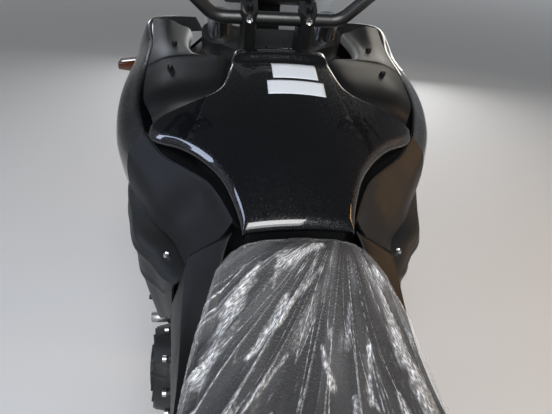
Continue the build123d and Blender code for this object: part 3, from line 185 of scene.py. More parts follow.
@dataclass(frozen=True)
class Finish:
    """One real surface: what it is made of and how it was made."""

    name: str
    slot: str
    colour: str
    tone: str
    pattern: Pattern = Pattern.GRAINED
    roughness: float = 0.5
    spread: float = 0.08
    metallic: float = 0.0
    coat: float = 0.0
    grain_mm: float = 1.0
    depth: float = 0.15
    centre: Triple = (0.0, 0.0, 0.0)
    alpha: float = 1.0
    shine: float = 0.5

    def material(self) -> Material:
        """Make the material once, and give it again later."""
        found = bpy.data.materials.get(self.name)
        if found:
            return found
        made = bpy.data.materials.new(self.name)
        made.use_nodes = True
        tree = made.node_tree
        tree.nodes.clear()
        place = add_node(tree, "ShaderNodeTexCoord").outputs["Object"]
        shader = add_node(tree, "ShaderNodeBsdfPrincipled", {
            "=Metallic": self.metallic, "=Coat Weight": self.coat, "=Coat Roughness": COAT_ROUGHNESS,
            "=Alpha": self.alpha, "=Specular IOR Level": self.shine})
        if self.metallic < 0.5:
            shader.inputs["IOR"].default_value = PLASTIC_IOR
        add_node(tree, "ShaderNodeOutputMaterial", links={"Surface": shader.outputs[0]})
        blotch = grain(tree, place, BLOTCH_SCALE, 4.0)
        value = self._pattern(tree, place)
        tint = add_node(tree, "ShaderNodeMix", {"data_type": "RGBA"})
        tint.inputs[6].default_value = linear(self.colour)
        tint.inputs[7].default_value = linear(self.tone)
        tree.links.new(math_node(tree, "MULTIPLY", blotch, value), tint.inputs[0])
        colour = tint.outputs[2]
        if self.pattern is Pattern.HEATED:
            colour = self._heat(tree, place, colour)
        tree.links.new(colour, shader.inputs["Base Color"])
        rough = map_range(tree, blotch, (0.0, 1.0), (
            max(self.roughness - self.spread, 0.02), self.roughness + self.spread))
        tree.links.new(rough, shader.inputs["Roughness"])
        if self.pattern is Pattern.FILM:
            self._creases(tree, shader)
        elif self.pattern is Pattern.FLAKE:
            self._flakes(tree, place, shader)
        elif self.depth > 0:
            bump = add_node(tree, "ShaderNodeBump", {
                "=Strength": self.depth, "=Distance": self.grain_mm * MM}, {"Height": value})
            tree.links.new(bump.outputs[0], shader.inputs["Normal"])
        return made

    def _pattern(self, tree: NodeTree, place: NodeSocket) -> NodeSocket:
        """Grey pattern of the surface, at its grain's real width."""
        scale = 1000.0 / self.grain_mm
        if self.pattern is Pattern.TURNED:
            moved = add_node(tree, "ShaderNodeMapping", {
                "=Location": tuple(-c for c in self.centre)}, {"Vector": place})
            split = add_node(tree, "ShaderNodeSeparateXYZ", links={0: moved.outputs[0]})
            flat = add_node(tree, "ShaderNodeCombineXYZ", links={
                "X": split.outputs["X"], "Z": split.outputs["Z"]})
            size = add_node(tree, "ShaderNodeVectorMath", {"operation": "LENGTH"}, {0: flat.outputs[0]})
            spun = add_node(tree, "ShaderNodeCombineXYZ", links={"X": size.outputs["Value"]})
            return grain(tree, spun.outputs[0], scale, 2.0)
        if self.pattern is Pattern.HIDE:
            cells = add_node(tree, "ShaderNodeTexVoronoi", {
                "feature": "SMOOTH_F1", "=Scale": scale, "=Smoothness": 0.6}, {"Vector": place})
            return cells.outputs["Distance"]
        if self.pattern is Pattern.GRAINED:
            cells = add_node(tree, "ShaderNodeTexVoronoi", {"=Scale": scale}, {"Vector": place})
            return cells.outputs["Distance"]
        return grain(tree, place, scale, 6.0 if self.pattern is Pattern.CAST else 2.0)

    def _flakes(self, tree: NodeTree, place: NodeSocket, shader: Node) -> None:
        """Tilt each flake under the lacquer a little, so single ones glint beside a highlight."""
        cells = add_node(tree, "ShaderNodeTexVoronoi", {"=Scale": 1000.0 / self.grain_mm}, {"Vector": place})
        centred = add_node(tree, "ShaderNodeVectorMath", {"operation": "SUBTRACT"},
                           {0: cells.outputs["Color"]})
        centred.inputs[1].default_value = (0.5, 0.5, 0.5)
        tilt = add_node(tree, "ShaderNodeVectorMath", {"operation": "SCALE", "=Scale": self.depth},
                        {0: centred.outputs[0]})
        facing = add_node(tree, "ShaderNodeNewGeometry").outputs["Normal"]
        summed = add_node(tree, "ShaderNodeVectorMath", {"operation": "ADD"}, {0: facing, 1: tilt.outputs[0]})
        normal = add_node(tree, "ShaderNodeVectorMath", {"operation": "NORMALIZE"}, {0: summed.outputs[0]})
        tree.links.new(normal.outputs[0], shader.inputs["Normal"])

    def _creases(self, tree: NodeTree, shader: Node) -> None:
        """Film painted milkier along its folds and where it is finely crumpled: partly its own whitening,
        partly painted highlights.

        The film carries four attributes: "fan", a place across and along its folds in metres,
        "crease" on the crests of the folds, "crumple" in the patches that are finely crumpled, and
        "calm" where it is drawn tight.
        """
        fan = add_node(tree, "ShaderNodeAttribute", {"attribute_name": "fan"}).outputs["Vector"]
        crest, patch, calm = (
            add_node(tree, "ShaderNodeAttribute", {"attribute_name": name}).outputs["Fac"]
            for name in ("crease", "crumple", "calm"))

        def streaks(across: float, along: float, detail: float) -> NodeSocket:
            """Noise drawn out along the folds, from its widths in millimetres."""
            moved = add_node(tree, "ShaderNodeMapping", {
                "=Scale": (1000 / across, 1000 / along, 1.0)}, {"Vector": fan})
            return grain(tree, moved.outputs[0], 1.0, detail)

        def mapped(source: NodeSocket, low: float, high: float, bottom: float,
                   top: float) -> NodeSocket:
            """Part of a pattern between two values, brought to a new range."""
            return map_range(tree, source, (low, high), (bottom, top))

        def joined(operation: str, first: NodeSocket, second: NodeSocket) -> NodeSocket:
            """Two patterns put together."""
            return math_node(tree, operation, first, second)

        # the film's opacity paints it white: a faint real haze in broad bands, then painted highlights
        hazy = mapped(streaks(46.0, 260.0, 2.0), 0.46, 0.76, 0.0, 0.09)
        flecks = streaks(self.grain_mm, 4.0 * self.grain_mm, 1.0)
        # painted glints: white flecks in the crumpled patches
        painted_glints = joined("MULTIPLY", mapped(flecks, 0.43, 0.66, 0.16, 0.72), patch)
        # painted highlights: broken white hair lines along the folds
        away = math_node(tree, "ABSOLUTE", math_node(tree, "SUBTRACT", streaks(19.0, 330.0, 1.0), 0.5))
        painted_hair_lines = mapped(away, 0.0, 0.012, 0.42, 0.0)
        broken = joined("MULTIPLY", painted_hair_lines, mapped(flecks, 0.4, 0.62, 0.1, 1.0))
        # painted highlights on the crests of the folds, faded where the film is drawn tight
        ridges = joined("MULTIPLY", mapped(crest, 0.2, 1.0, 0.0, 0.5), mapped(flecks, 0.34, 0.6, 0.35, 1.0))
        lines = joined("MULTIPLY", joined("ADD", broken, ridges), mapped(calm, 0.0, 1.0, 1.0, 0.06))
        total = joined("ADD", joined("ADD", hazy, painted_glints), lines)
        alpha = add_node(tree, "ShaderNodeMath", {"operation": "ADD", "use_clamp": True, "=1": self.alpha},
                         {0: total})
        tree.links.new(alpha.outputs[0], shader.inputs["Alpha"])
        bump = add_node(tree, "ShaderNodeBump", {"=Strength": self.depth, "=Distance": 1.2 * MM},
                        {"Height": flecks})
        tree.links.new(bump.outputs[0], shader.inputs["Normal"])

    def _heat(self, tree: NodeTree, place: NodeSocket,
              colour: NodeSocket) -> NodeSocket:
        """Straw and blue tints towards the cylinder head."""
        split = add_node(tree, "ShaderNodeSeparateXYZ", links={0: place})
        ramp = add_node(tree, "ShaderNodeValToRGB")
        tree.links.new(map_range(tree, split.outputs["Z"], (0.2, 0.46)), ramp.inputs[0])
        stops = ramp.color_ramp.elements
        stops[0].color = linear("#ffffff")
        stops[1].color = linear("#8f88b0")
        stops[1].position = 0.95
        straw = stops.new(0.55)
        straw.color = linear("#d8b27a")
        mixed = add_node(tree, "ShaderNodeMix", {"data_type": "RGBA", "blend_type": "MULTIPLY"})
        mixed.inputs[0].default_value = 0.8
        tree.links.new(colour, mixed.inputs[6])
        tree.links.new(ramp.outputs[0], mixed.inputs[7])
        return mixed.outputs[2]


FRONT_AXLE: Triple = (0.805, 0.0, 0.3)
REAR_AXLE: Triple = (-0.72, 0.0, 0.324)

# Moulded ABS under pearl enamel and lacquer: deep black with single glints
PEARL = Finish("pearl_enamel_on_abs", "gloss_black", "#030406", "#0a0c12", Pattern.FLAKE, 0.3, 0.03,
               metallic=0.25, coat=1.0, grain_mm=1.1, depth=0.26, shine=0.2)
# Moulded ABS with a fine eroded grain: an even satin black
SATIN = Finish("grained_moulded_abs", "satin_black", "#090a0b", "#101113", Pattern.GRAINED, 0.42, 0.06,
               grain_mm=0.9, depth=0.12, shine=0.22)
# Moulded polypropylene: coarser grain, greyer
GREY = Finish("textured_polypropylene", "grey_plastic", "#121415", "#1b1d1f", Pattern.GRAINED, 0.46, 0.07,
              grain_mm=1.2, depth=0.16, shine=0.28)
# Powder-coated steel: slight orange peel
POWDER = Finish("powder_coated_steel", "frame_paint", "#0f1011", "#18191b", Pattern.SMOOTH, 0.36, 0.06,
                grain_mm=3.0, depth=0.08)
# Die-cast aluminium, sprayed black
ENGINE = Finish("black_sprayed_casting", "engine_black", "#131415", "#1e1f21", Pattern.CAST, 0.45, 0.08,
                metallic=0.15, grain_mm=1.6, depth=0.25)
# Bare die-cast aluminium: grainy and dull
CASTING = Finish("bare_cast_aluminium", "cast_alloy", "#9a9b9c", "#b4b5b6", Pattern.CAST, 0.42, 0.08,
                 metallic=1.0, grain_mm=1.4, depth=0.2)
# Anodised aluminium tube
ANODISED = Finish("anodised_aluminium_tube", "fork_silver", "#b8babc", "#a6a8ab", Pattern.SMOOTH, 0.25,
                  0.04, metallic=1.0, grain_mm=2.0, depth=0.03)
STEEL = Finish("turned_steel", "steel", "#a9a9a7", "#8f8f8c", Pattern.CAST, 0.3, 0.08, metallic=1.0,
               grain_mm=1.0, depth=0.06)
FRONT_DISC = Finish("turned_disc_steel_front", "steel", "#a6a6a4", "#8c8c8a", Pattern.TURNED, 0.3, 0.05,
                    metallic=1.0, grain_mm=1.5, depth=0.25, centre=FRONT_AXLE)
REAR_DISC = replace(FRONT_DISC, name="turned_disc_steel_rear", centre=REAR_AXLE)
# Stainless tube, brushed, with heat colours near the head
STAINLESS = Finish("brushed_stainless_steel", "stainless", "#b5b0a8", "#9c968d", Pattern.HEATED, 0.28,
                   0.07, metallic=1.0, grain_mm=2.0, depth=0.05)
CHAIN = Finish("oiled_chain_steel", "chain_steel", "#6d675d", "#3d3934", Pattern.CAST, 0.38, 0.1,
               metallic=1.0, grain_mm=1.5, depth=0.1)
# Cast wheel in gloss black enamel
ENAMEL = Finish("gloss_wheel_enamel", "rim_black", "#0b0c0d", "#121314", Pattern.SMOOTH, 0.3, 0.05,
                coat=0.6, grain_mm=4.0, depth=0.04)
RUBBER = Finish("tyre_rubber", "tyre_rubber", "#161617", "#242425", Pattern.CAST, 0.72, 0.1,
                grain_mm=1.5, depth=0.25)
GRIP = Finish("moulded_grip_rubber", "tyre_rubber", "#121213", "#1b1b1c", Pattern.GRAINED, 0.7, 0.08,
              grain_mm=1.0, depth=0.3)
# Vinyl cover, grained like hide
VINYL = Finish("grained_seat_vinyl", "seat_vinyl", "#131417", "#1e1f23", Pattern.HIDE, 0.52, 0.08,
               grain_mm=2.4, depth=0.45, shine=0.4)
# Zinc-plated fasteners
ZINC = Finish("zinc_plated_steel", "steel", "#c9cacb", "#aeb0b2", Pattern.SMOOTH, 0.28, 0.06,
              metallic=1.0, grain_mm=2.0, depth=0.03)
# Blackened fasteners
BLACKED = replace(ZINC, name="blackened_steel", slot="frame_paint", colour="#1d1e1f", tone="#2a2b2c",
                  roughness=0.34, spread=0.05, metallic=0.8)
LABEL = Finish("plain_vinyl_sticker", "satin_black", "#b4bac2", "#c2c6cc", Pattern.SMOOTH, 0.35, 0.04,
               grain_mm=4.0, depth=0.02)
AMBER = Finish("amber_lens_acrylic", "amber_lens", "#d9730c", "#e88a22", Pattern.SMOOTH, 0.1, 0.02,
               coat=1.0, grain_mm=4.0, depth=0.03)
SMOKED = replace(AMBER, name="smoked_amber_acrylic", colour="#3a1a04", tone="#4a2408", roughness=0.12,
                 coat=0.6)
RED = replace(AMBER, name="red_lens_acrylic", slot="red_lens", colour="#9a0f12", tone="#b01a1c")
CHROME = Finish("chromed_reflector", "steel", "#e2e3e4", "#d4d5d6", Pattern.SMOOTH, 0.06, 0.02,
                metallic=1.0, grain_mm=6.0, depth=0.0)
MIRROR = Finish("silvered_mirror_glass", "mirror_head", "#d6dadd", "#e0e4e6", Pattern.SMOOTH, 0.03, 0.01,
                metallic=1.0, grain_mm=8.0, depth=0.0)
GLOSS = Finish("gloss_black_abs", "mirror_head", "#0a0b0c", "#111213", Pattern.SMOOTH, 0.14, 0.03,
               coat=0.6, grain_mm=5.0, depth=0.03)
# Clear moulded sheets; low alpha keeps them cheap and clear in every view
SCREEN = Finish("clear_polycarbonate", "screen_clear", "#a9b2b6", "#b6bec2", Pattern.SMOOTH, 0.05, 0.02,
                alpha=0.28, coat=0.8, grain_mm=9.0, depth=0.0)
LENS = Finish("clear_lamp_lens", "lamp_lens", "#d5dade", "#dfe3e6", Pattern.SMOOTH, 0.04, 0.02,
              alpha=0.25, coat=1.0, grain_mm=9.0, depth=0.0)
# Blown polyethylene: clear, its creases and crumpled patches painted whiter, partly its own milkiness and
# partly painted highlights
FILM = Finish("creased_polyethylene_film", "screen_clear", "#e9ecf0", "#ffffff", Pattern.FILM, 0.12, 0.04,
              alpha=0.03, grain_mm=1.7, depth=0.7)
# Cold-wound spring wire under baked enamel
SPRING = Finish("enamelled_spring_wire", "steel", "#1a1b1d", "#26282b", Pattern.SMOOTH, 0.24, 0.05, coat=0.7,
                grain_mm=3.0, depth=0.05)
GLASS = Finish("dash_cover_glass", "satin_black", "#07090b", "#0b0e11", Pattern.SMOOTH, 0.06, 0.02,
               coat=1.0, grain_mm=9.0, depth=0.0)


# Mesh helpers


def own_mesh(name: str, shape: BMesh) -> Mesh:
    """Turn a bmesh into a mesh and free it."""
    mesh = bpy.data.meshes.new(name)
    shape.to_mesh(mesh)
    shape.free()
    return mesh


def add_object(name: str, data: ID) -> Object:
    """Put an object with its data into the scene."""
    made = bpy.data.objects.new(name, data)
    bpy.context.scene.collection.objects.link(made)
    return made


def grown_verts(result: dict) -> list[BMVert]:
    """Corners among what an extrusion made."""
    return [item for item in result["geom"] if isinstance(item, BMVert)]


def face_out(shape: BMesh) -> None:
    """Turn all faces of a form outwards."""
    bmesh.ops.recalc_face_normals(shape, faces=shape.faces)


def face_up(shape: BMesh) -> None:
    """Turn the faces over if most of them look down."""
    if sum(face.normal.z for face in shape.faces) < 0:
        bmesh.ops.reverse_faces(shape, faces=shape.faces)


def finished(name: str, shape: BMesh, finish: Finish, body: str,
             replaced: Sequence[str] = (), flat: bool = False) -> Object:
    """Turn a bmesh into a finished piece that rides on a body.

    Args:
        name: Piece name.
        shape: The mesh, in metres in the shared frame; freed here.
        finish: Its surface.
        body: Body that it moves with.
        replaced: Nodes that it stands for.
        flat: Keep flat shading.

    Returns:
        The new object.
    """
    for face in shape.faces:
        face.smooth = not flat
    piece = add_object(name, own_mesh(name, shape))
    piece.data.materials.append(finish.material())
    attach(piece, body)
    if replaced:
        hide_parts(*replaced)
    return piece


def add_modifier(piece: Object, kind: str, **settings: object) -> None:
    """Add a modifier with its settings to a piece."""
    made = piece.modifiers.new(kind.lower(), kind)
    for name, value in settings.items():
        setattr(made, name, value)


def softened(frame: dict, node: str, finish: Finish, width_mm: float = 1.0, bend: float = 32.0) -> Object:
    """Copy of a rigid node with its corners rounded, standing for the node.

    Args:
        node: Node name.
        finish: Its surface.
        width_mm: Width of the rounding.
        bend: Corners sharper than this many degrees are rounded.

    Returns:
        The new object.
    """
    source = frame["nodes"][node]
    shape = bmesh.new()
    shape.from_mesh(source.data)
    bmesh.ops.remove_doubles(shape, verts=shape.verts, dist=WELD)
    bmesh.ops.dissolve_degenerate(shape, edges=shape.edges, dist=WELD)
    bmesh.ops.dissolve_limit(shape, angle_limit=FLAT_BEND, verts=shape.verts, edges=shape.edges)
    piece = finished(node + "_finish", shape, finish, source["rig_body"], (node,))
    add_modifier(piece, "BEVEL", width=width_mm * MM, segments=2, limit_method="ANGLE",
                 angle_limit=math.radians(bend), harden_normals=True, miter_outer="MITER_ARC")
    return piece


def spline(points: Sequence[Sequence[float]], place: float) -> list[float]:
    """Point on a smooth curve through a row of points.

    Args:
        points: Points with the same number of values each.
        place: From 0 at the first point to 1 at the last.

    Returns:
        The values at that place.
    """
    span = len(points) - 1
    step = min(int(place * span), span - 1)
    t = place * span - step
    rows = [points[min(max(step + k, 0), span)] for k in (-1, 0, 1, 2)]
    return [
        0.5 * (2 * b + (c - a) * t + (2 * a - 5 * b + 4 * c - d) * t * t + (3 * b - 3 * c + d - a) * t ** 3)
        for a, b, c, d in zip(*rows)
    ]


def grid(along: int, across: int, shaped: Callable[[float, float], Sequence[float]]) -> BMesh:
    """Grid whose points are moved to a surface.

    Args:
        along: Faces along the first direction.
        across: Faces along the second.
        shaped: Gives x, y, z in millimetres from two places between 0 and 1.

    Returns:
        The mesh.
    """
    shape = bmesh.new()
    bmesh.ops.create_grid(shape, x_segments=along, y_segments=across, size=1.0)
    for vert in shape.verts:
        x, y, z = shaped(0.5 + 0.5 * vert.co.x, 0.5 + 0.5 * vert.co.y)
        vert.co = (x * MM, y * MM, z * MM)
    return shape


def mirrored(shape: BMesh) -> None:
    """Add the right-hand twin of a left-hand shape and set both to face outwards."""
    bmesh.ops.mirror(shape, geom=shape.verts[:] + shape.edges[:] + shape.faces[:],
                     matrix=Matrix.Identity(4), merge_dist=-1, axis="Y")
    face_out(shape)


def bolt_heads(name: str, carrier: Object, spots: Iterable[Triple], facing: Triple, radius_mm: float,
               finish: Finish, body: str, socket: bool = True) -> Object:
    """Row of bolt heads in one mesh, each seated on its carrier's surface.

    Args:
        name: Piece name.
        carrier: Object whose surface the heads sit on.
        spots: Places over the surface, in millimetres.
        facing: The way that the heads face.
        radius_mm: Head radius.
        finish: Its surface.
        body: Body that it moves with.
        socket: Socket heads, or hexagon heads with a flange.

    Returns:
        The new object.
    """
    shape = bmesh.new()
    tree = surface_tree(carrier)
    out = Vector(facing).normalized()
    turn = out.to_track_quat("Z", "Y").to_matrix().to_4x4()
    for spot in spots:
        seat = tree.ray_cast(Vector(spot) * MM + 60 * MM * out, -out)[0]
        if seat is None:
            LOG.warning("no seat for a head of %s", name)
            continue
        matrix = Matrix.Translation(seat) @ turn
        height = radius_mm * (1.1 if socket else 1.0) * MM
        made = bmesh.ops.create_cone(
            shape, cap_ends=True, segments=20 if socket else 6, radius1=radius_mm * MM,
            radius2=radius_mm * 0.94 * MM, depth=height,
            matrix=matrix @ Matrix.Translation((0, 0, 0.45 * height)))
        if socket:
            top = max({face for vert in made["verts"] for face in vert.link_faces},
                      key=lambda face: face.calc_center_median().dot(out))
            bmesh.ops.inset_region(shape, faces=[top], thickness=0.42 * radius_mm * MM)
            bmesh.ops.translate(shape, verts=top.verts, vec=-0.55 * height * out)
        else:
            bmesh.ops.create_cone(shape, cap_ends=True, segments=20, radius1=1.5 * radius_mm * MM,
                                  radius2=1.42 * radius_mm * MM, depth=0.25 * height,
                                  matrix=matrix @ Matrix.Translation((0, 0, 0.1 * height)))
    piece = finished(name, shape, finish, body, flat=True)
    add_modifier(piece, "BEVEL", width=0.06 * radius_mm * MM, segments=2, limit_method="ANGLE",
                 angle_limit=math.radians(30))
    return piece


def lathe(shape: BMesh, foot: Sequence[float], along: Sequence[float],
          profile: Sequence[Point], steps: int = 32) -> None:
    """Turn a profile about an axis into a mesh.

    Args:
        shape: Mesh that gets the turned form.
        foot: Where the axis starts, in millimetres.
        along: Direction of the axis.
        profile: Distances along the axis and radii, in millimetres.
        steps: Sides of the form.
    """
    axis = Vector(along).normalized()
    across = axis.orthogonal().normalized()
    centre = Vector(foot) * MM
    verts = [shape.verts.new(centre + (axis * far + across * radius) * MM) for far, radius in profile]
    edges = [shape.edges.new(pair) for pair in zip(verts, verts[1:])]
    bmesh.ops.spin(shape, geom=verts + edges, cent=centre, axis=axis, angle=math.tau, steps=steps,
                   use_merge=True)
    bmesh.ops.remove_doubles(shape, verts=shape.verts, dist=0.01 * MM)
    face_out(shape)


def plate(shape: BMesh, centre: Sequence[float], right: Sequence[float],
          facing: Sequence[float], size: Point, corner: float, thick: float,
          end: Point = (1.0, 1.0)) -> None:
    """Add a plate with rounded corners to a mesh.

    Args:
        shape: Mesh that gets the plate.
        centre: Middle of its back, in millimetres.
        right: Direction of its width.
        facing: The way that its front faces.
        size: Width and height, in millimetres.
        corner: Corner radius, in millimetres.
        thick: Thickness, in millimetres.
        end: Size of the front against the back.
    """
    part = bmesh.new()
    bmesh.ops.create_grid(part, x_segments=1, y_segments=1, size=0.5)
    bmesh.ops.scale(part, vec=(size[0] * MM, size[1] * MM, 1.0), verts=part.verts)
    bmesh.ops.bevel(part, geom=part.verts[:], offset=corner * MM, offset_type="OFFSET", segments=5,
                    profile=0.5, affect="VERTICES", material=-1)
    moved = grown_verts(bmesh.ops.extrude_face_region(part, geom=part.faces[:]))
    bmesh.ops.translate(part, vec=(0, 0, thick * MM), verts=moved)
    bmesh.ops.scale(part, vec=(end[0], end[1], 1.0), verts=moved)
    bmesh.ops.recalc_face_normals(part, faces=part.faces)
    out = Vector(facing).normalized()
    wide = (Vector(right) - Vector(right).dot(out) * out).normalized()
    matrix = Matrix((wide, out.cross(wide), out)).transposed().to_4x4()
    part.transform(Matrix.Translation(Vector(centre) * MM) @ matrix)
    mesh = own_mesh("plate", part)
    shape.from_mesh(mesh)
    bpy.data.meshes.remove(mesh)


def tube(shape: BMesh, path: Sequence[Sequence[float]], radius_mm: float,
         sides: int = 10, closed: bool = False) -> None:
    """Sweep a round section along a path into a mesh.

    Args:
        shape: Mesh that gets the tube.
        path: Points in millimetres.
        radius_mm: Radius of the section.
        sides: Sides of the section.
        closed: Join the last point to the first.
    """
    points = [Vector(point) * MM for point in path]
    count = len(points)
    rings, across = [], Vector((0.0, 0.0, 1.0))
    for index, point in enumerate(points):
        after = points[(index + 1) % count] if closed else points[min(index + 1, count - 1)]
        before = points[index - 1] if closed or index else point
        along = (after - before).normalized()
        across = (across - across.dot(along) * along).normalized() if abs(across.dot(along)) < 0.99 else (
            along.orthogonal().normalized())
        frame = Matrix((across, along.cross(across), along)).transposed().to_4x4()
        ring = bmesh.ops.create_circle(shape, segments=sides, radius=radius_mm * MM,
                                       matrix=Matrix.Translation(point) @ frame)["verts"]
        rings.append(list({edge for vert in ring for edge in vert.link_edges}))
    pairs = zip(rings, rings[1:] + rings[:1] if closed else rings[1:])
    for first, second in pairs:
        bmesh.ops.bridge_loops(shape, edges=first + second)
    if not closed:
        bmesh.ops.holes_fill(shape, edges=rings[0] + rings[-1], sides=sides)
    face_out(shape)


def helix(start: Triple, end: Triple, radius: float, turns: float, steps: int = 16) -> list[Vector]:
    """Points of a coil between two places.

    Args:
        start: Middle of the first turn.
        end: Middle of the last turn.
        radius: Radius of the coil, in millimetres.
        turns: Number of turns.
        steps: Points in one turn.

    Returns:
        The points, in millimetres.
    """
    first, last = Vector(start), Vector(end)
    along = (last - first).normalized()
    across = along.orthogonal().normalized()
    other = along.cross(across)
    count = int(turns * steps)
    return [
        first.lerp(last, step / count)
        + radius * (math.cos(math.tau * step / steps) * across + math.sin(math.tau * step / steps) * other)
        for step in range(count + 1)
    ]


def swollen(piece: Object, voxel_mm: float, cap_mm: float, pressure: float) -> None:
    """Remesh a padded piece and let air pressure fill its cover a little.

    Args:
        piece: A closed form that is slightly too small.
        voxel_mm: Size of the new mesh's cells.
        cap_mm: How far a point may move.
        pressure: Pressure inside.
    """
    add_modifier(piece, "REMESH", mode="VOXEL", voxel_size=voxel_mm * MM, use_smooth_shade=True)
    applied(piece)
    rest = [vert.co.copy() for vert in piece.data.vertices]
    cloth = piece.modifiers.new("cloth", "CLOTH")
    cloth.settings.use_pressure = True
    cloth.settings.uniform_pressure_force = pressure
    cloth.settings.effector_weights.gravity = 0.0
    cloth.settings.mass = 0.3
    cloth.settings.tension_stiffness = 40.0
    scene = bpy.context.scene
    for step in range(1, 15):
        scene.frame_set(step)
    applied(piece)
    scene.frame_set(1)
    for vert, start in zip(piece.data.vertices, rest):
        moved = vert.co - start
        if moved.length > cap_mm * MM:
            vert.co = start + moved.normalized() * cap_mm * MM
    for face in piece.data.polygons:
        face.use_smooth = True


def applied(piece: Object) -> None:
    """Turn what the modifiers give now into the piece's own mesh."""
    graph = bpy.context.evaluated_depsgraph_get()
    graph.update()
    made = bpy.data.meshes.new_from_object(piece.evaluated_get(graph), depsgraph=graph)
    piece.modifiers.clear()
    old = piece.data
    piece.data = made
    bpy.data.meshes.remove(old)
    made.name = piece.name


def surface_tree(piece: Object) -> BVHTree:
    """Tree of a piece's faces, to find where its surface lies."""
    return BVHTree.FromPolygons([vert.co.copy() for vert in piece.data.vertices],
                                [tuple(face.vertices) for face in piece.data.polygons])


# Sub-assemblies


@dataclass
class PaddedSeat:
    """Foam seat in a stretched vinyl cover, with welted seams along its edges."""

    name: str
    node: str
    # columns: x, half width, top, edge height, base height, in millimetres
    stations: tuple[tuple[float, ...], ...]
    seams: tuple[float, ...] = (0.27,)
    cap: float = 4.0
    shrink: float = 3.0
    voxel: float = 5.0
    pressure: float = 3.0
    welt_radius: float = 1.7

    def ring(self, along: float) -> tuple[float, list[Point]]:
        """Place along the seat and the half outline there, from the crown round to the base."""
        x, half, top, edge, base = spline(self.stations, along)
        half, top = half - self.shrink, top - self.shrink
        fall, side = top - edge, edge - base
        return x, [(0, top), (0.3 * half, top - 0.04 * fall), (0.6 * half, top - 0.2 * fall),
                   (0.84 * half, top - 0.52 * fall), (0.97 * half, edge + 1), (half - 4, edge - 0.4 * side),
                   (half - 14, edge - 0.8 * side), (half - 30, base), (0.4 * half, base), (0, base)]

    def surface(self, along: float, across: float) -> Triple:
        """Point of the closed form."""
        x, half_ring = self.ring(along)
        side = 1 if across < 0.5 else -1
        y, z = spline(half_ring, 2 * across if across < 0.5 else 2 - 2 * across)
        return x, side * y, z

    def build(self) -> Object:
        """Build the seat and its welts."""
        shape = grid(60, 96, self.surface)
        bmesh.ops.remove_doubles(shape, verts=shape.verts, dist=0.1 * MM)
        bmesh.ops.holes_fill(shape, edges=[edge for edge in shape.edges if edge.is_boundary], sides=0)
        face_out(shape)
        piece = finished(self.name, shape, VINYL, "chassis", (self.node,))
        swollen(piece, self.voxel, self.cap, self.pressure)
        self.welts(piece)
        add_modifier(piece, "SUBSURF", levels=1, render_levels=1)
        return piece

    def welts(self, piece: Object) -> None:
        """Welted seams that follow the finished cover."""
        tree = surface_tree(piece)
        shape = bmesh.new()
        for place in self.seams:
            for side in (-1, 1):
                path = []
                for step in range(49):
                    x, half_ring = self.ring(0.03 + 0.94 * step / 48)
                    y, z = spline(half_ring, 2 * place)
                    spot, normal, _, _ = tree.find_nearest(Vector((x, side * y, z)) * MM)
                    path.append((spot + normal * 0.2 * MM) / MM)
                tube(shape, path, self.welt_radius, 8)
        finished(self.name + "_welts", shape, VINYL, "chassis")


@dataclass
class Tyre:
    """Road tyre with slanted grooves cut into its crown."""

    name: str
    node: str
    body: str
    axle: Triple
    radius: float
    half: float
    bead_half: float
    pattern: int
    bead: float = 216.0
    groove: float = 4.5
    steps: int = 216
    crown_faces: int = 18

    def profile(self) -> list[Point]:
        """Half-width and radius of the section's points, from one bead to the other."""
        shoulder = self.bead + 0.48 * (self.radius - self.bead)
        wall = [(self.bead_half, self.bead), (self.bead_half + 9, self.bead + 7),
                (self.half - 4, self.bead + 0.26 * (self.radius - self.bead)), (self.half, shoulder)]
        crown = []
        for step in range(self.crown_faces + 1):
            share = math.sin(0.5 * math.pi * (2 * step / self.crown_faces - 1))
            crown.append((self.half * share, shoulder + (self.radius - shoulder) * (1 - share ** 2) ** 0.62))
        crown = crown[1:-1]
        return [(-y, r) for y, r in wall] + crown + wall[::-1]

    def build(self) -> None:
        """Spin the section, then press the grooves into the crown."""
        shape = bmesh.new()
        centre = Vector(self.axle)
        verts = [shape.verts.new(centre + Vector((0, y * MM, r * MM))) for y, r in self.profile()]
        edges = [shape.edges.new(pair) for pair in zip(verts, verts[1:])]
        edges.append(shape.edges.new((verts[-1], verts[0])))
        bmesh.ops.spin(shape, geom=verts + edges, cent=centre, axis=(0, 1, 0), angle=math.tau,
                       steps=self.steps, use_merge=True)
        bmesh.ops.remove_doubles(shape, verts=shape.verts, dist=0.05 * MM)
        face_out(shape)
        cut = [face for face in shape.faces if self.is_groove(face.calc_center_median() - centre)]
        bmesh.ops.inset_region(shape, faces=cut, thickness=0.8 * MM, use_even_offset=True)
        for vert in {vert for face in cut for vert in face.verts}:
            out = vert.co - centre
            vert.co -= Vector((out.x, 0, out.z)).normalized() * self.groove * MM
        for vert in shape.verts:
            out = vert.co - centre
            share = min(abs(out.y) / (self.half * MM), 1.0)
            lean = 0.16 * share if out.length > (self.bead + 30) * MM else 0.0
            out.rotate(Matrix.Rotation(lean, 3, "Y"))
            vert.co = centre + out
        finished(self.name, shape, RUBBER, self.body, (self.node,))

    def is_groove(self, out: Vector) -> bool:
        """Whether a face of the crown is at the bottom of a groove."""
        share = out.y / (self.half * MM)
        if math.hypot(out.x, out.z) < (self.bead + 0.6 * (self.radius - self.bead)) * MM:
            return False
        turn = int((math.atan2(out.z, out.x) / math.tau + 1) * self.steps) % self.pattern
        if share > 0:
            return turn == 0 and 0.12 < share < 0.9 or (
                turn == self.pattern // 3 and 0.4 < share < 0.95)
        half_turn = self.pattern // 2
        return turn == half_turn and -0.9 < share < -0.12 or (
            turn == (half_turn + self.pattern // 3) % self.pattern and -0.95 < share < -0.4)


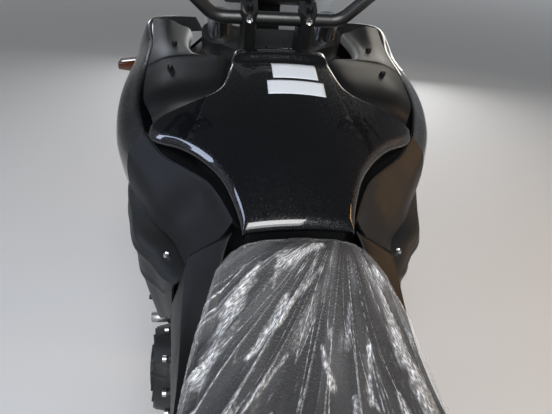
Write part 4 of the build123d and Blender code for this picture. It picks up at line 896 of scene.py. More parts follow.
@dataclass
class ChainRun:
    """Roller chain: outer and inner plates with rollers between them, round both sprockets."""

    # all in millimetres
    front: Triple = (-80.0, 100.0, 420.0)
    rear: Triple = (-720.0, 100.0, 324.0)
    front_radius: float = 43.0
    rear_radius: float = 108.0
    links: int = 112
    pitch: float = 15.85
    link_half: float = 15.4

    def place(self, share: float) -> tuple[Vector, float]:
        """Point of the pitch line and the slope there, from a share of the run."""
        front, rear = Vector(self.front), Vector(self.rear)
        span = rear - front
        along, across = span.normalized(), Vector((-span.z, 0, span.x)).normalized()
        drop = math.asin((self.rear_radius - self.front_radius) / span.length)
        straight = span.length * math.cos(drop)
        arcs = (self.rear_radius * (math.pi + 2 * drop), self.front_radius * (math.pi - 2 * drop))
        distance = share % 1.0 * (2 * straight + sum(arcs))
        angle, centre, radius, slide = math.pi / 2 + drop, front, self.front_radius, distance
        if distance >= 2 * straight + arcs[0]:
            angle = -math.pi / 2 - drop - (distance - 2 * straight - arcs[0]) / self.front_radius
            slide = 0.0
        elif distance >= straight + arcs[0]:
            angle, centre, radius = -math.pi / 2 - drop, rear, self.rear_radius
            slide = distance - straight - arcs[0]
        elif distance >= straight:
            angle, centre, radius = angle - (distance - straight) / self.rear_radius, rear, self.rear_radius
            slide = 0.0
        normal = along * math.cos(angle) + across * math.sin(angle)
        run = along * math.sin(angle) - across * math.cos(angle)
        return centre + normal * radius + run * slide, math.atan2(-run.z, run.x)

    def plate(self, shape: BMesh, side: float, thick: float, half_height: float) -> None:
        """One link plate with its waist, over two pins at x of plus and minus half a pitch."""
        upright = Matrix.Rotation(math.pi / 2, 4, "X")
        made = bmesh.ops.create_circle(shape, cap_ends=True, segments=16, radius=1.0, matrix=upright)["verts"]
        for vert in made:
            waist = 0.68 + 0.32 * min(1.0, abs(vert.co.x) / 0.6)
            rise = vert.co.z * half_height * waist * MM * 1.12
            vert.co = (vert.co.x * self.link_half * MM, side * MM, rise)
        faces = list({face for vert in made for face in vert.link_faces})
        grown = bmesh.ops.extrude_face_region(shape, geom=faces)
        bmesh.ops.translate(shape, vec=(0, thick * MM, 0), verts=grown_verts(grown))

    def build(self) -> None:
        """Build one pair of links and lay copies of it along the run."""
        outer, inner = bmesh.new(), bmesh.new()
        # columns: links, places of their two plates, thickness, half height
        for item, sides, thick, half in ((outer, (-6.6, 5.1), 1.5, 7.2), (inner, (-4.9, 3.5), 1.4, 6.9)):
            for side in sides:
                self.plate(item, side, thick, half)
        for pin in (-0.5, 0.5):
            for radius, half in ((2.6, 7.8), (5.0, 3.6)):
                bmesh.ops.create_cone(outer, cap_ends=True, segments=10, radius1=radius * MM,
                                      radius2=radius * MM, depth=2 * half * MM,
                                      matrix=Matrix.Translation((pin * self.pitch * MM, 0, 0))
                                      @ Matrix.Rotation(math.pi / 2, 4, "X"))
        shapes = []
        for item, name in ((outer, "outer_link"), (inner, "inner_link")):
            bmesh.ops.recalc_face_normals(item, faces=item.faces)
            shapes.append(own_mesh(name, item))
        shape = bmesh.new()
        for link in range(self.links):
            before = len(shape.verts)
            shape.from_mesh(shapes[link % 2])
            shape.verts.ensure_lookup_table()
            spot, slope = self.place((link + 0.5) / self.links)
            bmesh.ops.transform(shape, verts=shape.verts[before:], matrix=Matrix.Translation(spot * MM)
                                @ Matrix.Rotation(slope, 4, "Y"))
        for mesh in shapes:
            bpy.data.meshes.remove(mesh)
        finished("roller_chain", shape, CHAIN, "chassis", ("chain",), flat=True)


@dataclass
class SeatFilm:
    """Crumpled clear wrapping film, tight round the seat's nose, that hangs down both sides."""

    overhang: float = 66.0
    rise: float = 1.4
    faces: tuple[int, int] = (220, 260)
    # the film is tight from the nose to this x, and tucked down this far in front of the nose
    tight_to: float = -14.0
    tuck_depth: float = 20.0
    # how far in from the seat's edge the film starts to turn down
    corner: float = 8.0
    # radius of the turn over the seat's edge and the length of film that it takes
    turn_radius: float = 11.0
    turn_length: float = 16.0
    # the seat's half width that the flat sheet was cut for
    flat_half: float = 138.0
    # height where no seat is below
    bare_height: float = 872.0
    # place that the folds run from, x and y in millimetres
    gather: Point = (36.0, -64.0)
    # columns: x, half width of the seat there
    edge: tuple[Point, ...] = ((-3, 64), (-9, 82), (-22, 95), (-52, 105), (-110, 119), (-180, 131),
                               (-250, 138), (-322, 144))
    # crumpled bands: front x and y, rear x and y, half widths, strength
    bands: tuple[tuple[float, ...], ...] = (
        (-17, -26, -40, 26, 5, 9, 0.9), (-40, 26, -70, 39, 5, 2, 0.5),
        (-48, -22, -92, 22, 2, 4, 0.5), (-88, 19, -150, 72, 8, 3, 1.0),
        (-38, 52, -88, 87, 3, 9, 0.8), (-86, 86, -166, 124, 10, 6, 0.85),
        (-34, -92, -130, -97, 3, 7, 0.55), (-120, -96, -240, -112, 8, 14, 0.8),
        (-141, -8, -189, -9, 2, 4, 0.8), (-142, -59, -206, -47, 3, 3, 0.75),
        (-150, 30, -205, 78, 2, 3, 0.5), (-200, -30, -262, -20, 3, 5, 0.7),
        (-196, -78, -268, -82, 3, 6, 0.75), (-92, -47, -142, -36, 2, 3, 0.35))
    fans: list[float] = field(default_factory=list)
    creases: list[float] = field(default_factory=list)
    crumples: list[float] = field(default_factory=list)
    calms: list[float] = field(default_factory=list)

    def fold(self, along: float, x: float, y: float) -> float:
        """Height of the folds at one place, in millimetres; notes what the material reads there.

        Args:
            along: Place from the nose, 0, to the rear, 1.
            x: Flat place along the seat, in millimetres.
            y: Flat place across it.
        """
        ahead, aside = self.gather[0] - x, y - self.gather[1]
        angle, radius = math.atan2(aside, ahead), math.hypot(ahead, aside)

        def wave(often: float, length: float, seed: float, turned: float = 0.0) -> float:
            """Noise round the gather, drawn out along the folds by a length in millimetres."""
            return noise.noise(Vector((often * angle + turned, radius / length, seed)))

        broad = wave(4.6, 520, 1)
        pleat = 1 - abs(wave(8.5, 700, 6, 3))
        small = 1 - abs(wave(21, 240, 9))
        fine = abs(wave(60, 13, 2))
        loose = eased(clamped((self.tight_to - x) / 30))
        patch = 0.35 * loose * min(1.0, max(0.0, 3.8 * wave(6.4, 150, 3, 1.7) - 0.95)
                                   + max(0.0, 2.4 * wave(15, 70, 12) - 1.2))
        patch = max(patch, self.banded(x, y, wave(30, 34, 5)))
        self.fans += [0.2 * angle, radius * MM, 0.0]
        self.creases.append(max(0.8 * pleat ** 26, 0.4 * small ** 30))
        rim = max(0.0, 1 - abs(along - 0.022) / 0.014)
        self.crumples.append(max(patch, 0.7 * rim))
        self.calms.append(1 - loose)
        height = 5.0 * max(0.0, broad) + 5.5 * pleat ** 7 + 2.2 * small ** 5 + 2.4 * fine * patch
        return height * (0.06 + 0.94 * loose) * (0.3 + 0.7 * min(1.0, along / 0.2))

    def banded(self, x: float, y: float, ragged: float) -> float:
        """How strongly the film is crumpled by its bands at one place, from 0 to 1.

        Args:
            x: Flat place along the seat, in millimetres.
            y: Flat place across it.
            ragged: Noise that frays the bands' edges, about 0.
        """
        most = 0.0
        for x0, y0, x1, y1, front, rear, strength in self.bands:
            run, side = x1 - x0, y1 - y0
            share = ((x - x0) * run + (y - y0) * side) / (run * run + side * side)
            share = clamped(share)
            away = math.hypot(x - x0 - share * run, y - y0 - share * side)
            reach = 1.25 * (front + (rear - front) * share) * (1 + 1.1 * ragged)
            most = max(most, strength * clamped(1.6 - 1.6 * away / max(reach, 0.5)))
        return most

    def build(self, seat: Object) -> None:
        """Lay the film over the finished seat."""
        tree = surface_tree(seat)

        def laid(along: float, across: float) -> Triple:
            """Point of the film over the seat or beside it."""
            x, half = spline(self.edge, along)
            drop = self.overhang * min(1.0, 0.35 + 1.4 * along)
            share = 2 * across - 1
            flat = share * (half + drop)
            side = 1 if flat > 0 else -1
            lift = self.rise + self.fold(along, x, flat)
            rolled = max(0.0, 1 - along / 0.05)
            tuck = self.tuck_depth * rolled ** 2.2
            over = abs(flat) - (half - self.corner)
            inner = min(abs(flat), half - self.corner - 1) * side
            spot = tree.ray_cast(Vector((min(x, -8.0) * MM, inner * MM, 1.5)), Vector((0, 0, -1)))[0]
            height = (spot.z / MM if spot else self.bare_height) - tuck
            if over <= 0:
                return x + 5 * rolled, flat, height + lift
            turn = min(over / self.turn_length, 1.0) * 0.5 * math.pi
            hang = max(over - self.turn_length, 0.0)
            y = half - self.corner + (self.turn_radius + lift) * math.sin(turn) + hang * (0.05 + 0.22 * along)
            sunk = self.turn_radius * (1 - math.cos(turn)) + 0.98 * hang
            return x + 5 * rolled, side * y, height + lift * math.cos(turn) - sunk

        shape = grid(*self.faces, laid)
        area = sum(face.calc_area() for face in shape.faces)
        piece = finished("clear_seat_film", shape, FILM, "chassis")
        for name, kind, key, values in (("fan", "FLOAT_VECTOR", "vector", self.fans),
                                        ("crease", "FLOAT", "value", self.creases),
                                        ("crumple", "FLOAT", "value", self.crumples),
                                        ("calm", "FLOAT", "value", self.calms)):
            piece.data.attributes.new(name, kind, "POINT").data.foreach_set(key, values)


@dataclass
class StorageLid:
    """Gloss lid over the storage box, with its rolled lip and skirt."""

    # columns: x, half width, in millimetres, from the seat forward
    plan: tuple[Point, ...] = (
        (0, 71), (24, 76), (48, 84), (72, 94), (96, 108), (124, 130), (150, 156), (172, 184), (188, 200),
        (200, 204), (206, 192), (209, 168), (212, 140), (217, 116), (228, 100), (244, 92), (270, 85),
        (292, 80), (308, 78), (316, 76))
    drops: tuple[Point, ...] = ((-4, 62), (100, 92), (200, 72), (336, 46))
    reach: float = 230.0
    edge_radius: float = 9.0
    skirt: float = 14.0
    faces: tuple[int, int] = (110, 90)
    # height at the seat, slope and bend of the crown
    crown: Triple = (900.0, 0.62, -0.00072)
    # the lip: where it starts and ends, each with the length of its slope, then height and half width
    lip: tuple[Point, Point] = ((284.0, 12.0), (322.0, 10.0))
    lip_rise: float = 7.0
    lip_half: float = 86.0
    # the groove behind the lip: place, length, half width and depth
    groove: tuple[float, ...] = (279.0, 7.0, 74.0, 3.0)

    def drop(self, x: float) -> float:
        """How far the surface falls at its reach, at one x."""
        for (x0, d0), (x1, d1) in zip(self.drops, self.drops[1:]):
            if x <= x1:
                return d0 + (d1 - d0) * (x - x0) / (x1 - x0)
        return self.drops[-1][1]

    def height(self, x: float, y: float) -> float:
        """Height of the crowned surface, in millimetres."""
        base, slope, bend = self.crown
        fall = self.drop(x) * (y / self.reach) ** 2
        (start, up), (stop, down) = self.lip
        rise = clamped((x - start) / up) * clamped((stop - x) / down)
        rise *= max(0.0, 1 - (abs(y) / self.lip_half) ** 6)
        place, length, half, depth = self.groove
        groove = depth * math.exp(-((x - place) / length) ** 2) * max(0.0, 1 - (abs(y) / half) ** 4)
        return base + slope * x + bend * x * x - fall + self.lip_rise * eased(rise) - groove

    def surface(self, along: float, across: float) -> Triple:
        """Point of the top, rounded down towards its rim."""
        x, half = spline(self.plan, along)
        side = 2 * across - 1
        y = side * half
        inset = min((1 - abs(side)) * half, (x - self.plan[0][0]) + 1, self.plan[-1][0] - x + 1)
        short = max(0.0, 1 - inset / self.edge_radius)
        return x, y, self.height(x, y) - self.edge_radius * (1 - math.sqrt(max(0.0, 1 - short * short)))

    def build(self) -> None:
        """Build the lid and its plain stickers."""
        shape = grid(*self.faces, self.surface)
        rim = [edge for edge in shape.edges if edge.is_boundary]
        moved = grown_verts(bmesh.ops.extrude_edge_only(shape, edges=rim))
        bmesh.ops.translate(shape, verts=moved, vec=(0, 0, -(self.skirt - self.edge_radius) * MM))
        face_out(shape)
        face_up(shape)
        piece = finished("storage_lid", shape, PEARL, "luggage_lid", ("luggage_lid",))
        add_modifier(piece, "SOLIDIFY", thickness=3 * MM, offset=-1.0)
        self.stickers()

    def stickers(self) -> None:
        """Two plain pale stickers behind the lip."""
        # columns: rear x, front x, right y, left y
        for index, (rear, front, right, left) in enumerate(((235, 279, -53, 17), (198, 229, -60, 27))):
            shape = grid(12, 16, lambda a, b: (
                rear + (front - rear) * a, right + (left - right) * b,
                self.height(rear + (front - rear) * a, right + (left - right) * b) + 0.35))
            face_up(shape)
            piece = finished(f"plain_sticker_{index + 1}", shape, LABEL, "luggage_lid")
            add_modifier(piece, "SOLIDIFY", thickness=0.25 * MM, offset=1.0)


@dataclass
class Panel:
    """Thin moulded panel through stations of x and an open outline, with its right-hand twin."""

    name: str
    node: str
    finish: Finish
    stations: tuple[tuple[float, tuple[Point, ...]], ...]
    wall: float = 3.0
    along: int = 56
    across: int = 26
    # columns: place across at the rear and at the front, height in millimetres
    ridges: tuple[Triple, ...] = ()

    def surface(self, along: float, across: float) -> Triple:
        """Point between the stations, smooth both ways but for its pressed lines."""
        rows = [[x, *[value for point in outline for value in point]] for x, outline in self.stations]
        row = spline(rows, along)
        points = list(zip(row[1::2], row[2::2]))
        y, z = spline(points, across)
        for rear, front, height in self.ridges:
            away = (across - rear - (front - rear) * along) / 0.05
            y += height * max(0.0, 1 - abs(away)) * min(1.0, 8 * along, 8 - 8 * along)
        return row[0], y, z

    def build(self) -> None:
        """Build both twins in one mesh, with a wall and rounded rims."""
        shape = grid(self.along, self.across, self.surface)
        face_out(shape)
        outward = sum(face.normal.y * face.calc_area() + 0.5 * face.normal.z * face.calc_area()
                      for face in shape.faces)
        if outward < 0:
            bmesh.ops.reverse_faces(shape, faces=shape.faces)
        bmesh.ops.solidify(shape, geom=shape.faces[:], thickness=self.wall * MM)
        mirrored(shape)
        piece = finished(self.name, shape, self.finish, "chassis", (self.node,))
        add_modifier(piece, "BEVEL", width=0.9 * MM, segments=2, limit_method="ANGLE",
                     angle_limit=math.radians(50), harden_normals=True)


# where a wing's gloss part meets its tail
WING_JOINT = (206, ((150, 917), (204, 922), (210, 928), (222, 914), (238, 892), (243, 862), (242, 832)))


@dataclass
class Bodywork:
    """Panels round the storage lid and over the engine."""

    panels: tuple[Panel, ...] = (
        Panel("inner_cowl_panels", "inner_cowls", SATIN, (
            (208, ((100, 930), (118, 944), (142, 938), (170, 928), (196, 916))),
            (213, ((96, 962), (112, 976), (142, 971), (172, 963), (200, 948))),
            (246, ((86, 978), (98, 995), (140, 990), (184, 980), (214, 962))),
            (300, ((76, 984), (88, 1004), (140, 1001), (184, 992), (217, 977))),
            (334, ((84, 990), (92, 1006), (142, 1005), (186, 999), (217, 984))),
            (350, ((132, 990), (138, 1005), (158, 1006), (188, 1002), (217, 988))),
            (420, ((150, 990), (156, 1005), (172, 1006), (192, 1007), (216, 1000))),
            (526, ((150, 990), (156, 1004), (172, 1010), (198, 1021), (226, 1018)))), 2.6),
        Panel("outer_wing_panels", "wings", PEARL, (
            WING_JOINT,
            (262, ((186, 936), (218, 946), (225, 953), (240, 940), (258, 918), (266, 884), (263, 852))),
            (330, ((196, 956), (214, 971), (221, 980), (238, 970), (260, 948), (270, 908), (262, 868))),
            (430, ((196, 972), (211, 990), (218, 999), (232, 991), (250, 968), (258, 926), (248, 882))),
            (540, ((204, 984), (217, 1008), (225, 1018), (234, 1012), (240, 985), (240, 940), (226, 898))),
            (636, ((132, 974), (142, 993), (150, 1003), (160, 992), (168, 966), (166, 932), (156, 902)))),
            along=74, across=40),
        Panel("wing_tail_panels", "wings", SATIN, (
            (30, ((62, 872), (76, 877), (82, 884), (93, 866), (108, 846), (126, 824), (142, 802))),
            (62, ((64, 882), (88, 888), (96, 894), (107, 872), (122, 850), (140, 828), (154, 804))),
            (98, ((80, 892), (108, 897), (116, 903), (126, 880), (142, 856), (158, 834), (170, 806))),
            (134, ((100, 896), (138, 899), (146, 904), (158, 890), (176, 868), (192, 842), (200, 812))),
            (170, ((116, 902), (174, 903), (182, 908), (194, 894), (210, 872), (218, 848), (220, 818))),
            WING_JOINT),
            along=50, across=40),
        Panel("lower_fairing_panels", "lower_fairings", GREY, (
            (34, ((142, 787), (160, 777), (166, 768), (167, 764), (167, 760))),
            (56, ((146, 788), (176, 776), (180, 752), (178, 722), (174, 688))),
            (92, ((155, 791), (197, 780), (198, 742), (195, 700), (186, 650))),
            (130, ((170, 795), (225, 789), (225, 742), (219, 690), (204, 612))),
            (180, ((203, 826), (239, 801), (239, 750), (232, 690), (215, 600))),
            (230, ((235, 857), (251, 811), (249, 760), (243, 690), (226, 591))),
            (285, ((240, 860), (253, 815), (250, 768), (241, 700), (221, 608))),
            (340, ((244, 863), (254, 820), (249, 776), (238, 712), (216, 634))),
            (410, ((235, 871), (246, 832), (240, 796), (232, 762), (218, 712))),
            (466, ((227, 879), (238, 842), (236, 826), (230, 800), (222, 768)))),
            along=90, across=80, ridges=((0.34, 0.46, 3.5), (0.62, 0.74, 3.0))),
    )

    def build(self) -> None:
        """Build each panel."""
        for panel in self.panels:
            panel.build()
            LOG.info("panel %s", panel.name)


@dataclass
class Shock:
    """Rear shock absorber: alloy body, rod and a wound spring between two seats."""

    foot: Triple = (-232.0, 0.0, 428.0)
    top: Triple = (-178.0, 0.0, 640.0)
    turns: float = 7.5
    # where the spring starts and ends above the foot, its radius and its wire's
    span: Point = (61.0, 168.0)
    coil_radius: float = 31.0
    wire_radius: float = 4.6

    def build(self) -> None:
        """Build the damper, then the spring round it."""
        along = (Vector(self.top) - Vector(self.foot)).normalized()
        damper = bmesh.new()
        lathe(damper, self.foot, along, (
            (0, 0), (0, 12), (30, 12), (34, 15), (46, 15), (48, 37), (56, 37), (58, 20), (100, 20), (102, 24),
            (172, 24), (173, 36), (181, 36), (182, 22), (204, 22), (206, 12), (218, 12), (218, 0)))
        finished("shock_damper", damper, CASTING, "chassis", ("shock_absorber",))
        coil = bmesh.new()
        start, end = (tuple(Vector(self.foot) + along * far) for far in self.span)
        tube(coil, helix(start, end, self.coil_radius, self.turns, 20), self.wire_radius, 8)
        finished("shock_spring", coil, SPRING, "chassis")


@dataclass
class HandlebarTrim:
    """Ribbed grips and mirror glasses."""

    outer: Triple = (203.0, 423.0, 1162.0)
    inward: Triple = (0.5008, -0.865, 0.0303)
    mirror: Triple = (338.6, 359.6, 1287.1)

    def build(self) -> None:
        """Build both sides of each."""
        grips, glasses = bmesh.new(), bmesh.new()
        ribs = [(4 + 2 * step, 17.5 if step % 3 else 16.5) for step in range(50)]
        for side in (1, -1):
            foot = (self.outer[0], side * self.outer[1], self.outer[2])
            along = (self.inward[0], side * self.inward[1], self.inward[2])
            lathe(grips, foot, along, ((1, 15.9), (1, 17), *ribs, (106, 17), (106, 20.5), (110, 20.5),
                                       (111, 15.9)), 28)
            facing = Vector((-1.0, 0.18 * side, -0.1)).normalized()
            centre = Vector((self.mirror[0], side * self.mirror[1], self.mirror[2])) + facing * 14.1
            plate(glasses, centre, (0.18, side, 0.02), facing, (150, 86), 25, 0.6)
        finished("ribbed_grips", grips, GRIP, "steering")
        finished("mirror_glasses", glasses, MIRROR, "steering", flat=True)


@dataclass
class Lamps:
    """What is behind and on the lenses, and the cover glass of the dash."""

    bowl: Triple = (655.0, 58.0, 878.0)

    def build(self) -> None:
        """Build the headlight's housing and reflectors, the rear indicators and the dash glass."""
        housing, bowls, eyes, pods, glass = (bmesh.new() for _ in range(5))
        plate(housing, (653, 0, 876), (0, 1, 0), (1, 0, 0), (226, 78), 26, 2.0)
        for side in (1, -1):
            foot = (self.bowl[0], side * self.bowl[1], self.bowl[2])
            lathe(bowls, foot, (1, 0, 0), (
                (0.3, 0), (0.3, 9), (5, 18), (14, 26), (26, 31), (28, 33), (25, 33), (12, 28), (3, 19),
                (0, 10)), 40)
            lathe(eyes, foot, (1, 0, 0), ((1, 0), (1, 13), (16, 15), (22, 13), (27, 7), (28, 0)), 32)
            plate(pods, (-1000, side * 104, 740), (1, 0, 0), (0, side, 0), (43.4, 27.4), 11, 40.6,
                  (0.74, 0.6))
        facing = Vector((-0.78, 0, 0.62))
        plate(glass, Vector((536, 0, 1112)) + facing.normalized() * 0.2, (0, 1, 0), facing, (170, 86), 10,
              1.2)
        finished("headlight_housing", housing, GLOSS, "chassis", flat=True)
        finished("headlight_reflectors", bowls, CHROME, "chassis")
        finished("headlight_projectors", eyes, LENS, "chassis")
        finished("rear_indicator_lenses", pods, AMBER, "chassis", flat=True)
        finished("dash_glass", glass, GLASS, "chassis", flat=True)


@dataclass
class Fasteners:
    """Screws, nuts and rubbers, seated on what they hold."""

    frame: dict

    def ring(self, centre: Triple, radius: float, count: int) -> list[Triple]:
        """Places round a centre, in the plane of the wheels."""
        turns = [math.tau * step / count for step in range(count)]
        return [(centre[0] + radius * math.cos(turn), centre[1], centre[2] + radius * math.sin(turn))
                for turn in turns]

    def build(self) -> None:
        """Build every row of fasteners."""
        nodes = self.frame["nodes"]
        left, right, up = (0.0, 1.0, 0.0), (0.0, -1.0, 0.0), (0, 0, 1)
        clamps, discs, pegs = nodes["triple_clamps"], nodes["front_discs"], nodes["footpegs"]
        panel = bpy.data.objects["inner_cowl_panels"]
        fairing = bpy.data.objects["lower_fairing_panels"]
        # columns: name, carrier, spots, facing, head radius, finish, body, socket head
        rows = [
            ("clamp_screws", clamps, [(339, y, 1068) for y in (-49, 49)], (-0.891, 0.0, -0.454), 5.6, ZINC,
             "steering", True),
            ("clamp_top_screws", clamps,
             [(x, y, z) for x, z in ((341.4, 1077.7), (365.5, 1089.9)) for y in (-49, 49)],
             (-0.454, 0.0, 0.891), 5.7, BLACKED, "steering", True),
            ("alternator_cover_screws", nodes["alternator_cover"], self.ring((155, 190, 448), 88, 9), left,
             6.8, ZINC, "chassis", True),
            ("clutch_cover_screws", nodes["clutch_cover"], self.ring((78, -190, 402), 98, 10), right, 6.8,
             ZINC, "chassis", True),
            ("cowl_screws", panel, [(x, y, 1005) for x in (300, 400) for y in (-176, 176)], up, 5.0,
             BLACKED, "chassis", True),
            ("fairing_top_screws", fairing, [(83, y, 790) for y in (-177, 177)], up, 4.5, ZINC,
             "chassis", True),
            ("rear_disc_screws", nodes["rear_disc"], self.ring((-720, -60, 324), 42, 6), right, 5.0, ZINC,
             "rear_wheel", True),
            ("rear_sprocket_nuts", nodes["rear_sprocket"], self.ring((-720, 110, 324), 44, 6), left, 6.5,
             ZINC, "rear_wheel", False),
        ]
        for word, side, out in (("left", 1, left), ("right", -1, right)):
            brackets = ((-118, 150, 334), (-150, 150, 334), (-205, 160, 528), (-238, 160, 540))
            rows += [
                (f"fairing_screws_{word}", fairing, [(150, side * 225, 640), (400, side * 240, 730)], out,
                 4.5, BLACKED, "chassis", True),
                (f"front_disc_screws_{word}", discs, self.ring((805, side * 60, 300), 42, 6), out, 5.0,
                 ZINC, "front_wheel", True),
                (f"bracket_screws_{word}", pegs, [(x, side * y, z) for x, y, z in brackets], out, 5.5,
                 ZINC, "chassis", False),
            ]
        for name, carrier, spots, facing, radius, finish, body, socket in rows:
            bolt_heads(name, carrier, spots, facing, radius, finish, body, socket)
        rubbers, bobbins, nuts = bmesh.new(), bmesh.new(), bmesh.new()
        for side in (1, -1):
            ribs = [(180 + 3 * step, 15.5 if step % 2 else 13.2) for step in range(27)]
            lathe(rubbers, (-136, 0, 318), (0, side, 0), ((178, 11.2), *ribs, (261, 11.2)), 20)
            shorter = [(far - 6, radius) for far, radius in ribs[:-3]]
            lathe(rubbers, (-330, 0, 468), (0, side, 0), ((172, 11.2), *shorter, (247, 11.2)), 20)
            lathe(bobbins, (190, side * 180, 549), (0, side, 0), (
                (0, 0), (0, 9), (5, 9), (5, 6.5), (9, 6.5), (9, 10), (46, 10), (48, 8.5), (48, 5), (44, 5),
                (44, 0)), 32)
            for sideways in (21, 75):
                lathe(nuts, Vector((377.6, side * sideways, 449.8)) + Vector((4.3, 0, -8.0)),
                      (0.47, 0, -0.883), ((-1, 0), (-1, 6), (8, 6), (9, 4), (13, 4), (13, 0)), 6)
        finished("peg_rubbers", rubbers, GRIP, "chassis")
        finished("engine_bobbins", bobbins, CASTING, "chassis")
        finished("port_nuts", nuts, ZINC, "chassis", flat=True)


BACKDROP = "#c9cccf"


@dataclass
class Stage:
    """Pale floor and backdrop, soft lamps and the photograph's camera."""

    eye: Triple = (-0.478, 0.1003, 1.2428)
    yaw: float = -8.15
    pitch: float = 33.28
    roll: float = 4.2
    lens: float = 31.35
    floor_radius: float = 14.0
    # columns: name, place, target, width, depth, watts, colour
    lamps: tuple[tuple[str, Triple, Triple, float, float, float, str], ...] = (
        ("overhead", (-1.9, 0.2, 3.1), (0.0, 0.0, 0.6), 1.6, 1.4, 100.0, "#ffffff"),
        ("left_strip", (0.1, 2.6, 1.9), (0.1, 0.0, 0.7), 0.26, 2.6, 23.0, "#d3e0ff"),
        ("right_strip", (0.1, -2.6, 1.7), (0.1, 0.0, 0.7), 0.26, 2.6, 23.0, "#ffc88c"),
        ("rear_fill", (-2.8, 0.4, 2.2), (0.0, 0.0, 0.6), 2.0, 1.4, 50.0, "#ffffff"),
        ("front_fill", (3.4, -0.6, 0.9), (0.2, 0.0, 0.6), 2.2, 1.2, 34.0, "#ffffff"),
        ("front_right", (3.2, -1.7, 2.0), (0.4, -0.2, 0.9), 1.1, 0.8, 13.0, "#fff6e6"),
        ("front_left", (3.3, 1.1, 2.0), (0.4, 0.2, 0.9), 0.6, 0.5, 7.0, "#eef4ff"),
    )

    def build(self) -> None:
        """Set the stage."""
        scene = bpy.context.scene
        scene.view_settings.view_transform = "Standard"
        self.camera()
        self.floor()
        world = bpy.data.worlds.new("studio")
        scene.world = world
        world.use_nodes = True
        tree = world.node_tree
        background = tree.nodes["Background"]
        background.inputs["Color"].default_value = linear(BACKDROP)
        facing = add_node(tree, "ShaderNodeTexCoord").outputs["Generated"]
        height = add_node(tree, "ShaderNodeSeparateXYZ", links={0: facing}).outputs["Z"]
        dimmed = map_range(tree, height, (0.12, 0.5), (0.42, 0.16))
        tree.links.new(dimmed, background.inputs["Strength"])
        for name, place, target, width, depth, watts, colour in self.lamps:
            data = bpy.data.lights.new(name, "AREA")
            data.shape = "RECTANGLE"
            data.size, data.size_y = width, depth
            data.energy = watts
            data.color = linear(colour)[:3]
            lamp = add_object(name, data)
            lamp.location = place
            lamp.rotation_euler = (Vector(target) - Vector(place)).to_track_quat("-Z", "Y").to_euler()

    def camera(self) -> None:
        """Stand where the photograph was taken."""
        yaw, pitch, roll = (math.radians(value) for value in (self.yaw, self.pitch, self.roll))
        ahead = Vector((math.cos(pitch) * math.cos(yaw), math.cos(pitch) * math.sin(yaw), -math.sin(pitch)))
        level = ahead.cross(Vector((0, 0, 1))).normalized()
        upright = level.cross(ahead)
        right = math.cos(roll) * level + math.sin(roll) * upright
        up = -math.sin(roll) * level + math.cos(roll) * upright
        data = bpy.data.cameras.new("photo_camera")
        data.lens = self.lens
        data.sensor_width = 36.0
        data.clip_start = 0.02
        camera = add_object("photo_camera", data)
        camera.matrix_world = Matrix((
            (right.x, up.x, -ahead.x, self.eye[0]), (right.y, up.y, -ahead.y, self.eye[1]),
            (right.z, up.z, -ahead.z, self.eye[2]), (0, 0, 0, 1)))
        bpy.context.scene.camera = camera

    def floor(self) -> None:
        """Pale floor that runs out of every view."""
        shape = bmesh.new()
        bmesh.ops.create_circle(shape, cap_ends=True, segments=64, radius=self.floor_radius)
        floor = add_object("studio_floor", own_mesh("studio_floor", shape))
        pale = bpy.data.materials.new("pale_studio_floor")
        pale.use_nodes = True
        tree = pale.node_tree
        shader = tree.nodes["Principled BSDF"]
        shader.inputs["Base Color"].default_value = linear("#c4c5c6")
        shader.inputs["Roughness"].default_value = 0.75
        shader.inputs["Emission Color"].default_value = linear(BACKDROP)
        place = add_node(tree, "ShaderNodeTexCoord").outputs["Object"]
        away = add_node(tree, "ShaderNodeVectorMath", {"operation": "LENGTH"}, {0: place}).outputs["Value"]
        tree.links.new(map_range(tree, away, (3.0, 9.0), (0.0, 0.34)), shader.inputs["Emission Strength"])
        floor.data.materials.append(pale)


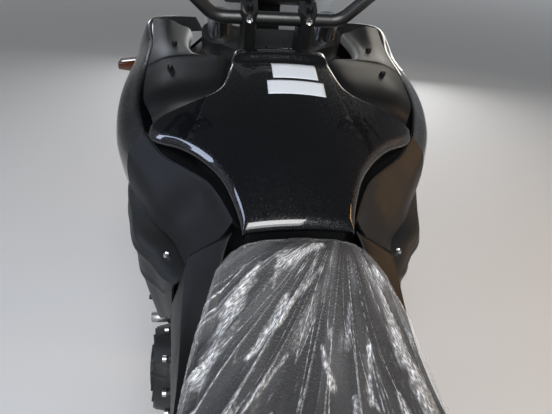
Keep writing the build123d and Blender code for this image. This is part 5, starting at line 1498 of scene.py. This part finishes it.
# columns: node, finish, rounding in millimetres
SOFTENED: tuple[tuple[str, Finish, float], ...] = (
    ("main_frame", POWDER, 0.8), ("seat_subframe", POWDER, 0.8), ("pivot_bolt", ZINC, 1.0),
    ("crankcase", ENGINE, 3.0), ("cylinder_block", ENGINE, 3.0), ("alternator_cover", ENGINE, 1.2),
    ("clutch_cover", ENGINE, 1.2), ("sprocket_cover", SATIN, 1.0), ("front_sprocket", STEEL, 0.4),
    ("radiator", ENGINE, 1.0), ("exhaust_pipes", STAINLESS, 1.0), ("silencer", STAINLESS, 1.5),
    ("swingarm", POWDER, 3.0), ("rear_axle", ZINC, 1.0),
    ("chain_guard", SATIN, 0.8), ("rear_brake_caliper", CASTING, 1.5),
    ("luggage_box", SATIN, 0.8), ("side_covers", SATIN, 1.0),
    ("nose_cowl", PEARL, 1.0), ("headlight", LENS, 0.6), ("windscreen", SCREEN, 0.8),
    ("dash", SATIN, 1.2), ("nose_bracket", POWDER, 0.6), ("tail_cowl", SATIN, 1.0),
    ("grab_rail", POWDER, 0.8),
    ("tail_light", RED, 1.5), ("plate_bracket", SATIN, 1.0), ("front_indicators", SMOKED, 1.5),
    ("footpegs", CASTING, 1.0), ("foot_controls", ZINC, 0.8), ("stand_pins", ZINC, 0.6),
    ("side_stand_bracket", POWDER, 0.8), ("fork_legs", ANODISED, 1.0), ("triple_clamps", ENGINE, 2.0),
    ("handlebar", POWDER, 0.8), ("bar_controls", SATIN, 1.0), ("mirrors", GLOSS, 2.0),
    ("front_fender", PEARL, 0.8), ("front_brake_calipers", CASTING, 1.5), ("front_axle", ZINC, 1.0),
    ("front_rim", ENAMEL, 1.0), ("front_discs", FRONT_DISC, 0.3),
    ("rear_rim", ENAMEL, 1.0), ("rear_disc", REAR_DISC, 0.3),
    ("rear_sprocket", STEEL, 0.4), ("centre_stand", POWDER, 0.8), ("side_stand", POWDER, 0.8),
)


# columns: x, half width, top, edge height, base height, in millimetres
RIDER_SEAT = ((-4, 68, 889, 872, 824), (-10, 86, 886, 867, 820), (-24, 98, 879, 858, 815),
              (-54, 108, 864, 842, 808), (-110, 122, 845, 820, 795), (-180, 134, 832, 806, 784),
              (-250, 141, 834, 805, 783), (-320, 148, 842, 808, 782))
PILLION_SEAT = ((-326, 126, 888, 860, 806), (-400, 125, 896, 868, 809), (-480, 122, 903, 874, 812),
                (-590, 112, 913, 885, 830), (-688, 95, 921, 896, 850))


def main() -> None:
    """Build every sub-assembly around the frame."""
    logging.basicConfig(level=logging.INFO)
    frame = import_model()
    Stage().build()
    for node, finish, width in SOFTENED:
        softened(frame, node, finish, width)
    LOG.info("softened %d nodes", len(SOFTENED))
    StorageLid().build()
    Bodywork().build()
    seat = PaddedSeat("rider_seat_pad", "rider_seat", RIDER_SEAT).build()
    SeatFilm().build(seat)
    PaddedSeat("pillion_seat_pad", "pillion_seat", PILLION_SEAT).build()
    LOG.info("seats and film")
    Tyre("front_road_tyre", "front_tyre", "front_wheel", FRONT_AXLE, 300, 60, 44, 9).build()
    Tyre("rear_road_tyre", "rear_tyre", "rear_wheel", REAR_AXLE, 312, 80, 62, 9).build()
    ChainRun().build()
    LOG.info("tyres and chain")
    Shock().build()
    HandlebarTrim().build()
    Lamps().build()
    Fasteners(frame).build()
    LOG.info("shock, trim, lamps and fasteners")


if __name__ == "__main__":
    main()
